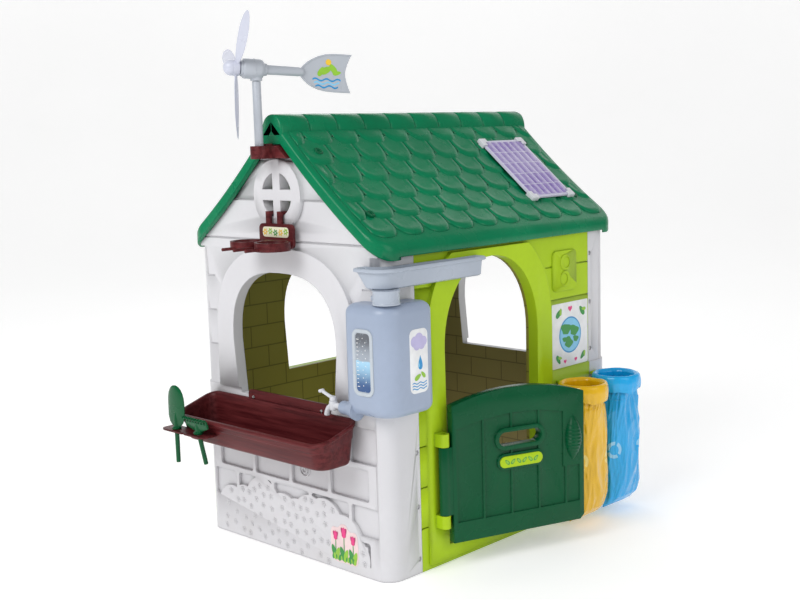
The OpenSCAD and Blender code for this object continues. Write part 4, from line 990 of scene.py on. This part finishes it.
def vaneSticker():
    bm = bmesh.new()
    for face in (-1, 1):
        place = headPlace @ Matrix(((0, 0, face, 0), (1, 0, 0, 0), (0, 1, 0, 0), (0, 0, 0, 1)))
        for k in range(3):
            start = 0.145 + 0.004 * k
            wave = [(start + 0.0035 * t,
                     -0.014 - 0.0085 * k + 0.0028 * math.sin(t * 0.75)) for t in range(22 - k * 2)]
            flatShape(bm, wave + [(a, b - 0.0042) for a, b in reversed(wave)], place, 0.00185 + 0.00002 * k,
                      k % 2)
        for a, b, size, turn in ((0.180, 0.008, 0.034, 0.5), (0.198, 0.012, 0.030, 2.2),
                                 (0.166, 0.004, 0.026, 1.1), (0.208, 0.002, 0.022, 0.2)):
            flatShape(bm, leafShape(a, b, size, turn), place, 0.0019 + size * 0.004, 2)
        flatShape(bm, [(0.185 + a, 0.028 + b) for a, b in circlePoints(0.0075, 24)], place, 0.00215, 3)
    return bm


def hubCap():
    bm = bmesh.new()
    profile = [(0.042, 0.006), (0.042, 0.0182), (0.0432, 0.0195), (0.0450, 0.02), (0.0575, 0.02),
               (0.0582, 0.0194), (0.0592, 0.0194), (0.06, 0.02)]
    profile += [(0.062 + 0.0198 * math.sin(a), 0.02 * math.cos(a)) for a in [0.13 * k for k in range(1, 12)]]
    turned(bm, profile, noseward, 48)
    return bm


def bladeSet(s):
    bm = bmesh.new()
    table = [  # share of the length, left width, right width, half of the thickness, extra twist
        (0.055, 0.0058, 0.0058, 0.0028, 4), (0.10, 0.0062, 0.0064, 0.0028, 5),
        (0.16, 0.0085, 0.0095, 0.0027, 5), (0.25, 0.0118, 0.0135, 0.0026, 4),
        (0.36, 0.0148, 0.0168, 0.0025, 2), (0.48, 0.0168, 0.0190, 0.0023, 0),
        (0.60, 0.0178, 0.0199, 0.0021, -1), (0.70, 0.0176, 0.0196, 0.0020, -2),
        (0.79, 0.0163, 0.0180, 0.0018, -3), (0.87, 0.0138, 0.0150, 0.0016, -4),
        (0.93, 0.0105, 0.0112, 0.0014, -4), (0.97, 0.0070, 0.0075, 0.0011, -5),
        (0.992, 0.0035, 0.0038, 0.0008, -5), (0.999, 0.0010, 0.0010, 0.0004, -5),
    ]
    for angle in s["blades"]:
        place = headPlace @ Matrix.Rotation(math.radians(angle), 4,
            "Y") @ Matrix.Translation((0, -s["bladeY"], 0))
        rings = []
        for share, left, right, thick, extra in table:
            twist = Matrix.Rotation(math.radians(s["pitch"] + extra), 4, "Z")
            ring = []
            for k in range(24):
                a = math.tau * k / 24
                x = (right if math.cos(a) > 0 else left) * math.cos(a)
                bow = 0.0016 * (1 - (x / 0.02) ** 2) * min(1.0, share * 2)
                ring.append(place @ twist @ Vector((x, thick * math.sin(a) + bow - 0.0008,
                    share * s["bladeLength"])))
            rings.append(ring)
        loft(bm, rings)
    return bm


piece("nacelleBody", nacelleBody(), "turning_head", "poleGrey", replaced=("nacelle",))
bm = bmesh.new()
turned(bm, [(0.0275, 0.0118), (0.029, 0.012), (0.108, 0.0115), (0.117, 0.0105), (0.1215, 0.0085),
            (0.1235, 0.005)], tailward, 36)
piece("tailBoom", bm, "turning_head", "poleGrey", replaced=("tail_boom",))
piece("tailVane", vanePlate(), "turning_head", "poleGrey", replaced=("tail_vane",), clean=False)
piece("vaneSticker", vaneSticker(), "turning_head",
      ["inkBlue", "inkSky", "inkLeaf", "inkYellow"], replaced=("vane_stickers",), clean=False)
piece("hubCap", hubCap(), "propeller", "bladeWhite", replaced=("propeller_hub",))
piece("bladeSet", bladeSet(windStyle), "propeller", "bladeWhite",
      replaced=("propeller_blades",))
print("wind vane ready")


# solar panel: a framed glass plate over a grid of cells
solarStyle = {"x": 0.190, "y": 0.762, "lift": 0.015, "long": 0.246, "wide": 0.184, "rows": 5, "columns": 6,
              "border": 0.007, "gap": 0.0024}


def solarPanel(s):
    bm = bmesh.new()
    place = Matrix.Translation((s["x"], s["y"],
                                roofHeight(s["x"]) + s["lift"])) @ Matrix.Rotation(roofSlope(s["x"]), 4, "Y")
    halfLong, halfWide = s["long"] / 2, s["wide"] / 2
    outline = fillet([(-halfLong, -halfWide), (halfLong, -halfWide), (halfLong, halfWide),
                      (-halfLong, halfWide)], [0.003] * 4, 4)
    slab(bm, outline, place, 0.0, 0.0058, 0.0008)
    rows, columns = s["rows"], s["columns"]
    stepX, stepY = (s["long"] - 2 * s["border"]) / rows, (s["wide"] - 2 * s["border"]) / columns
    for i in range(rows):
        for j in range(columns):
            x0 = -halfLong + s["border"] + i * stepX + s["gap"] / 2
            y0 = -halfWide + s["border"] + j * stepY + s["gap"] / 2
            x1, y1 = x0 + stepX - s["gap"], y0 + stepY - s["gap"]
            cell = fillet([(x0, y0), (x1, y0), (x1, y1), (x0, y1)], [0.0025] * 4, 3)
            slab(bm, cell, place, 0.005, 0.0061, 0.0002, 1)
            for k in (1, 2):  # thin conductors
                y = y0 + (y1 - y0) * k / 3
                flatShape(bm, [(x0, y - 0.0002), (x1, y - 0.0002), (x1, y + 0.0002), (x0, y + 0.0002)],
                          place, 0.0062, 0)
    return bm


piece("solarPlate", solarPanel(solarStyle), "house", ["cellLine", "solarCell"],
      replaced=("solar_panel",), clean=False)


# printed stickers on the walls, door and feeder
def posterSheet():
    bm = bmesh.new()
    side = onSide(0.3561)
    slab(bm, fillet([(0.658, 0.427), (0.828, 0.427), (0.828, 0.611), (0.658, 0.611)], [0.004] * 4, 3), side,
         0.0, 0.0008, 0.0002)
    flatShape(bm, [(0.743 + a, 0.517 + b) for a, b in circlePoints(0.052, 48)], side, 0.0011, 1)
    flatShape(bm, [(0.743 + a, 0.517 + b) for a, b in circlePoints(0.048, 48)], side, 0.0013, 2)
    blobs = [(0.722, 0.535, 0.022, 0.4), (0.760, 0.528, 0.020, 1.2), (0.735, 0.497, 0.018, 2.6),
             (0.768, 0.503, 0.012, 0.9), (0.716, 0.506, 0.010, 0.2)]
    for k, (x, y, r, turn) in enumerate(blobs):
        land = [(x + r * (1 + 0.25 * math.sin(3 * a + turn)) * math.cos(a),
                 y + r * 0.8 * (1 + 0.2 * math.cos(2 * a + turn)) * math.sin(a))
                for a in [math.tau * i / 28 for i in range(28)]]
        flatShape(bm, land, side, 0.0015 + 0.00005 * k, 3)
    for x, y, size, turn in ((0.690, 0.583, 0.034, 0.7), (0.800, 0.580, 0.034, 2.3),
                             (0.686, 0.452, 0.030, 5.3), (0.803, 0.450, 0.030, 3.9)):
        flatShape(bm, leafShape(x, y, size, turn), side, 0.0012, 3)
        flatShape(bm, leafShape(x + 0.008, y + 0.004, size * 0.6, turn + 0.8), side, 0.0014, 5)
    for x, y, size in ((0.743, 0.592, 0.016), (0.718, 0.443, 0.011), (0.769, 0.443, 0.011)):
        flatShape(bm, heartShape(x, y, size), side, 0.0012, 4)
    return bm


def tulipSticker():
    bm = bmesh.new()
    front = onFront(-0.0121)
    outline = [(0.151, 0.022), (0.176, 0.018), (0.205, 0.020), (0.232, 0.018), (0.249, 0.024),
               (0.250, 0.060), (0.2495, 0.086), (0.246, 0.104),
               (0.236, 0.108), (0.224, 0.104), (0.214, 0.110), (0.206, 0.121), (0.190, 0.1215),
               (0.182, 0.112), (0.172, 0.108), (0.160, 0.110),
               (0.152, 0.104), (0.1505, 0.080), (0.1502, 0.050)]
    slab(bm, rounder(outline), front, 0.0, 0.0007, 0.0002)
    for x, y, size in ((0.168, 0.084, 0.013), (0.199, 0.096, 0.015), (0.232, 0.082, 0.013)):
        stem = [(x - 0.0015, y), (x - 0.002, 0.030), (x + 0.0012, 0.030), (x + 0.0015, y)]
        flatShape(bm, stem, front, 0.0010, 2)
        flatShape(bm, leafShape(x - 0.007, 0.045, 0.034, 1.95), front, 0.0011, 2)
        flatShape(bm, leafShape(x + 0.007, 0.043, 0.030, 1.2), front, 0.0012, 3)
        for turn, tone in ((2.1, 4), (1.04, 4), (1.57, 1)):
            petal = leafShape(x + 0.28 * size * math.cos(turn), y + 0.25 * size, size * 1.9, turn)
            flatShape(bm, petal, front, 0.0014 if tone == 4 else 0.0016, tone)
    for k in range(14):
        x = 0.158 + 0.0062 * k
        flatShape(bm, leafShape(x, 0.031, 0.016 + 0.004 * math.sin(k * 2.1),
                                1.57 + 0.35 * math.sin(k * 1.3)), front, 0.0013 + 0.00003 * k, 2 + k % 2)
    return bm


def feederLabel():
    bm = bmesh.new()
    front = onFront(-0.0341)
    slab(bm, fillet([(-0.042, 0.844), (0.058, 0.844), (0.058, 0.870), (-0.042, 0.870)], [0.009] * 4, 6),
         front, 0.0, 0.0007, 0.0002)
    for k in range(5):
        x, y = -0.032 + 0.020 * k, 0.857 + 0.002 * math.sin(k * 2.0)
        for turn in range(6):
            a = turn * math.tau / 6 + k
            flatShape(bm, leafShape(x + 0.0052 * math.cos(a), y + 0.0052 * math.sin(a), 0.0085, a), front,
                      0.0010 + 0.00004 * turn, 1 + k % 3)
        flatShape(bm, [(x + a, y + b) for a, b in circlePoints(0.0023, 14)], front, 0.0014, 4)
    return bm


# the door is drawn along +Y from its hinge, turned by its opening angle
doorPlace = Matrix.Translation((0.387, 0.164, 0)) @ Matrix.Rotation(math.radians(-20), 4, "Z")


def doorPlaque():
    bm = bmesh.new()
    place = doorPlace @ Matrix(((0, 0, 1, 0.0162), (1, 0, 0, 0), (0, 1, 0, 0), (0, 0, 0, 1)))
    outline = [(0.216 + (0.049 if math.cos(a) > 0 else -0.049) + 0.015 * math.cos(a),
                0.256 + 0.015 * math.sin(a))
               for a in [math.tau * (k + 0.5) / 40 for k in range(40)]]
    slab(bm, outline, place, -0.0002, 0.0028, 0.001)
    for k in range(6):
        x = 0.173 + 0.0172 * k
        flatShape(bm, leafShape(x, 0.256, 0.017, 0.8 if k % 2 else 2.34), place, 0.0030, 1)
        flatShape(bm, leafShape(x, 0.256, 0.011, 0.8 if k % 2 else 2.34), place, 0.0032, 2)
    return bm


# ribbed grip that bulges from the door
def doorGrip():
    bm = bmesh.new()
    rings = []
    half, width = 0.0605, 0.0235
    arc = (width * width + half * half) / (2 * width)
    for k in range(97):
        z = -half + 2 * half * k / 96
        r = max(0.0006, width - arc + math.sqrt(max(0.0, arc * arc - z * z)))
        rib = max(0.0, math.cos(math.pi * min(1.0,
            abs(z) / 0.05) / 2)) * 0.0011 * math.cos(z * math.tau / 0.0092)
        ring = [(0.0125 + (r + rib) * math.cos(a),
                 (r + rib) * math.sin(a)) for a in [math.pi * (j / 24 - 0.5) for j in range(25)]]
        rings.append([doorPlace @ Vector((x, 0.377 + y, 0.292 + z)) for x, y in ring])
    loft(bm, rings)
    return bm


# small five-petalled flowers moulded on the bush, and a spiral on a brick
bushLobes = ((-250, 78, 62), (-196, 92, 58), (-120, 116, 70), (-34, 92, 66), (22, 92, 62), (72, 112, 62),
             (128, 108, 68), (196, 78, 68), (238, 42, 54))


def bushFlowers():
    bm = bmesh.new()
    picker = random.Random(5)
    spots = []
    for _ in range(1500):
        x, z = picker.uniform(-0.288, 0.272), picker.uniform(0.012, 0.172)
        inside = z < 0.07 or any(math.hypot(x * 1000 - a, z * 1000 - b) < r - 11 for a, b, r in bushLobes)
        if not inside or (0.138 < x < 0.262 and z < 0.134) or any(math.hypot(x - a, z - b) < 0.025 for a,
            b in spots):
            continue
        spots.append((x, z))
    for x, z in spots:
        turn = picker.uniform(0, math.tau)
        for k in range(5):
            a = turn + math.tau * k / 5
            petal = Matrix.Translation((x + 0.0052 * math.cos(a), -0.0119,
                                        z + 0.0052 * math.sin(a))) @ Matrix.Rotation(math.radians(90), 4, "X")
            turned(bm, [(-0.0005, 0.0036), (0.0006, 0.0034), (0.0013, 0.0026), (0.0016, 0.0010)], petal, 12)
        heart = Matrix.Translation((x, -0.0119, z)) @ Matrix.Rotation(math.radians(90), 4, "X")
        turned(bm, [(-0.0005, 0.0024), (0.0016, 0.0021), (0.0020, 0.0010)], heart, 10)
    path = []
    for k in range(70):
        a = 0.2 * k
        r = 0.0035 + 0.00135 * a
        path.append(Vector((0.047 + r * math.cos(a), -0.0035, 0.237 + r * math.sin(a))))
    tube(bm, path, [0.0026] * 70, 8)
    return bm


softened("door_leaf", "door", "doorGreen", 0.0014)
piece("doorGrip", doorGrip(), "door", "doorGreen")
piece("doorPlaque", doorPlaque(), "door", ["lime", "inkGreen", "inkLeaf"],
      replaced=("door_plaque",), clean=False)
piece("posterSheet", posterSheet(), "house", ["inkWhite", "inkBlue", "inkSky", "inkGreen",
    "inkPink", "inkLeaf"], replaced=("poster",), clean=False)
piece("tulipSticker", tulipSticker(), "house",
      ["inkPale", "inkPink", "inkGreen", "inkLeaf", "inkDark"], replaced=("tulip_sticker",), clean=False)
piece("feederLabel", feederLabel(), "feeder",
      ["inkCream", "inkYellow", "inkLeaf", "inkGreen", "inkWhite"], replaced=("feeder_label",), clean=False)
piece("bushFlowers", bushFlowers(), "house", "ivory")
print("stickers and reliefs ready")

# the rest of the hard pieces keep their CAD shapes with rounded edges
for node, body, key, width in (
    ("wall_screws", "house", "steel", 0.0004), ("hinge_pins", "house", "steel", 0.0008),
    ("planter_screws", "house", "steel", 0.0005),
    ("bird_feeder", "feeder", "brown", 0.0022), ("pole_bracket", "house", "brown", 0.003),
    ("pole", "house", "poleGrey", 0.0008),
    ("propeller_shaft", "propeller", "steel", 0.0004), ("solar_clips", "house", "white", 0.0008),
    ("bag_rings", "house", "lime", 0.0006),
):
    softened(node, body, key, width)
print("hard pieces ready")


# bags of thin film: each hangs inside its ring, with its mouth turned out over the ring
bagStyle = {
    "ringX": 0.440, "ringZ": 0.392, "columns": 240, "rows": 150, "flat": (0.452, 0.520),
    # distance from the axis along X and Y, height below the ring, and how deep the creases are
    "profile": (
        (0.004, 0.066, -0.376, 0.3), (0.020, 0.070, -0.366, 0.6), (0.040, 0.073, -0.345, 1.0),
        (0.052, 0.0745, -0.31, 1.0), (0.056, 0.0745, -0.25, 1.0),
        (0.054, 0.073, -0.19, 1.0), (0.0515, 0.070, -0.13, 1.0), (0.049, 0.065, -0.085, 1.1),
        (0.047, 0.058, -0.055, 1.2), (0.049, 0.053, -0.030, 1.0),
        (0.0525, 0.053, -0.008, 0.5), (0.0540, 0.054, 0.004, 0.3), (0.0575, 0.0575, 0.0085, 0.2),
        (0.0625, 0.0625, 0.0085, 0.2), (0.0665, 0.0665, 0.003, 0.3),
        (0.0680, 0.0680, -0.012, 0.6), (0.0665, 0.0665, -0.028, 0.9), (0.0640, 0.0640, -0.040, 1.0),
    ),
}


def ridged(p):
    return 1 - 2 * abs(noise.noise(p))


def bagSheet(s, middleY, seed, name, node, key):
    profile = [Vector(p) for p in s["profile"]]
    lengths = [0.0]
    for a, b in zip(profile, profile[1:]):
        lengths.append(lengths[-1] + math.hypot((b.x + b.y - a.x - a.y) / 2, b.z - a.z))
    bm = bmesh.new()
    layer = bm.loops.layers.uv.new("film")
    rows = []
    away = Vector((seed * 3.1, seed * 1.7, seed * 5.3))
    for i in range(s["rows"] + 1):
        reach = lengths[-1] * i / s["rows"]
        k = max(j for j in range(len(lengths) - 1) if lengths[j] <= reach + 1e-9)
        a, b = profile[k], profile[k + 1]
        here = a.lerp(b, (reach - lengths[k]) / (lengths[k + 1] - lengths[k]))
        cuff = reach > lengths[11]
        row = []
        for j in range(s["columns"]):
            turn = math.tau * j / s["columns"]
            power = 0.80 if here.z < -0.06 else 0.95
            x = here.x * math.copysign(abs(math.cos(turn)) ** power, math.cos(turn))
            y = here.y * math.copysign(abs(math.sin(turn)) ** power, math.sin(turn))
            spot = Vector((math.cos(turn) * 1.3, math.sin(turn) * 1.3, here.z * 6.0)) + away
            folds = ridged(spot * 1.15) * 0.0052
            folds += ridged(Vector((spot.x * 2.4 + here.z * 9, spot.y * 2.4, spot.z * 1.1))) * 0.0030
            folds += ridged(Vector((spot.x * 4.5, spot.y * 4.5 - here.z * 14, spot.z * 2.2))) * 0.0014
            neck = math.exp(-((here.z + 0.045) / 0.035) ** 2)
            pleats = ridged(Vector((math.cos(turn) * 4.2, math.sin(turn) * 4.2,
                                    seed + here.z * 3))) * 0.0042 * neck
            depth = (folds * (0.35 if cuff else 1.0) + pleats * (0.5 if cuff else 1.0)) * here.w
            lift = 0.0
            if cuff:  # the turned-out hem is uneven
                share = (reach - lengths[11]) / (lengths[-1] - lengths[11])
                lift = share * (0.010 * noise.noise(Vector((math.cos(turn) * 1.6, math.sin(turn) * 1.6,
                    seed))) + 0.003 * ridged(spot * 3))
                depth = max(depth, -0.0006 if share < 0.4 else -0.004)
            radial = Vector((x, y, 0)).normalized() if here.x > 0.01 else Vector((math.copysign(1, x), 0, 0))
            p = Vector((x, y, here.z + lift)) + radial * (depth - 0.0035 * (0 if cuff else 1))
            row.append(bm.verts.new((s["ringX"] + p.x, middleY + p.y, s["ringZ"] + p.z)))
        rows.append(row)
    for i in range(s["rows"]):
        for j in range(s["columns"]):
            n = (j + 1) % s["columns"]
            face = bm.faces.new((rows[i][j], rows[i][n], rows[i + 1][n], rows[i + 1][j]))
            spots = ((j, i), (j + 1, i), (j + 1, i + 1), (j, i + 1))
            for loop, (u, v) in zip(face.loops, spots):
                loop[layer].uv = (u / s["columns"] * s["flat"][0], v / s["rows"] * s["flat"][1])
    made = piece(name, bm, "house", key, angle=70, replaced=(node,), clean=False)
    area = sum(p.area for p in made.data.polygons)
    print(name, "area", round(area, 4), "flat", round(s["flat"][0] * s["flat"][1], 4))
    return made


bagSheet(bagStyle, 0.686, 1, "yellowBag", "yellow_bag", "filmYellow")
bagSheet(bagStyle, 0.848, 2, "blueBag", "blue_bag", "filmBlue")
print("bags ready")

# stage: a pale sweep, a soft key, a broad fill and a white sky
stageStyle = {"floorTone": 0.92, "reach": 9.0, "bend": 3.0, "glow": 0.33, "sky": 0.55, "glossSky": 0.15,
              "key": 105.0, "fill": 24.0}


def backdrop(s):
    bm = bmesh.new()
    rows = []
    profile = [(-s["reach"], 0.0), (s["reach"] * 0.6, 0.0)]
    profile += [(s["reach"] * 0.6 + s["bend"] * math.sin(a),
                 s["bend"] * (1 - math.cos(a))) for a in [0.157 * k for k in range(1, 11)]]
    profile += [(s["reach"] * 0.6 + s["bend"], 9.0)]
    turn = Matrix.Rotation(math.radians(44), 4, "Z")
    for d, z in profile:
        rows.append([turn @ Vector((x * s["reach"] * 1.6, d, z - 0.0005)) for x in (-1, 1)])
    loft(bm, rows, caps=(False, False), closed=False)
    mesh = bpy.data.meshes.new("backdrop")
    bm.to_mesh(mesh)
    bm.free()
    m = Maker("paperSweep")
    tone = m.cloud(0.6, 3.0).smooth(0.3, 0.7)
    grain = m.cloud(300.0, 2.0)
    base = m.mix(tone, (s["floorTone"] * 0.985,) * 3, (s["floorTone"],) * 3)
    normal = m.node("ShaderNodeBump", {"Strength": 0.05, "Distance": 0.0005, "Height": grain})
    mesh.materials.append(m.finish(Base_Color=base, Roughness=tone * 0.1 + 0.65, Normal=normal,
                                   Emission_Color=base, Emission_Strength=s["glow"]))
    mesh.shade_smooth()
    made = bpy.data.objects.new("backdrop", mesh)
    bpy.context.scene.collection.objects.link(made)


def lamp(name, spot, target, size, power, color=(1, 1, 1)):
    data = bpy.data.lights.new(name, "AREA")
    data.shape = "RECTANGLE"
    data.size, data.size_y = size
    data.energy = power
    data.color = color
    made = bpy.data.objects.new(name, data)
    bpy.context.scene.collection.objects.link(made)
    made.location = spot
    made.rotation_euler = (Vector(target) - Vector(spot)).to_track_quat("-Z", "Y").to_euler()


backdrop(stageStyle)
lamp("keyLight", (0.4, -3.6, 3.4), (0.0, 0.3, 0.5), (2.6, 2.2), stageStyle["key"])
lamp("fillLight", (4.2, 0.6, 2.2), (0.1, 0.4, 0.5), (2.4, 2.4), stageStyle["fill"], (0.97, 0.98, 1.0))
lamp("backLight", (-2.8, 2.6, 3.2), (0, 0.4, 0.8), (2.0, 2.0), stageStyle["fill"] * 0.7)
world = bpy.data.worlds.new("sky")
world.use_nodes = True
world.node_tree.nodes["Background"].inputs[0].default_value = (1.0, 1.0, 1.0, 1.0)
glossRay = world.node_tree.nodes.new("ShaderNodeLightPath")
skyLevel = world.node_tree.nodes.new("ShaderNodeMath")
skyLevel.operation = "MULTIPLY_ADD"
skyLevel.inputs[1].default_value = stageStyle["glossSky"] - stageStyle["sky"]
skyLevel.inputs[2].default_value = stageStyle["sky"]
world.node_tree.links.new(glossRay.outputs["Is Glossy Ray"], skyLevel.inputs[0])
world.node_tree.links.new(skyLevel.outputs[0], world.node_tree.nodes["Background"].inputs[1])
bpy.context.scene.world = world
bpy.context.scene.view_settings.view_transform = "Standard"

# camera
cameraStyle = {"spot": (2.334, -1.987, 1.099), "yaw": 44.11, "pitch": 8.008, "roll": -1.613, "lens": 53.6}


def placeCamera(s):
    yaw, pitch, roll = (math.radians(s[k]) for k in ("yaw", "pitch", "roll"))
    ahead = Vector((-math.sin(yaw) * math.cos(pitch), math.cos(yaw) * math.cos(pitch), -math.sin(pitch)))
    right = Vector((math.cos(yaw), math.sin(yaw), 0))
    up = right.cross(ahead)
    imageRight = right * math.cos(roll) + up * math.sin(roll)
    imageUp = up * math.cos(roll) - right * math.sin(roll)
    turn = Matrix((imageRight, imageUp, -ahead)).transposed()
    data = bpy.data.cameras.new("camera")
    data.lens = s["lens"]
    data.sensor_width = 36.0
    made = bpy.data.objects.new("camera", data)
    made.matrix_world = Matrix.Translation(s["spot"]) @ turn.to_4x4()
    bpy.context.scene.collection.objects.link(made)
    bpy.context.scene.camera = made


placeCamera(cameraStyle)
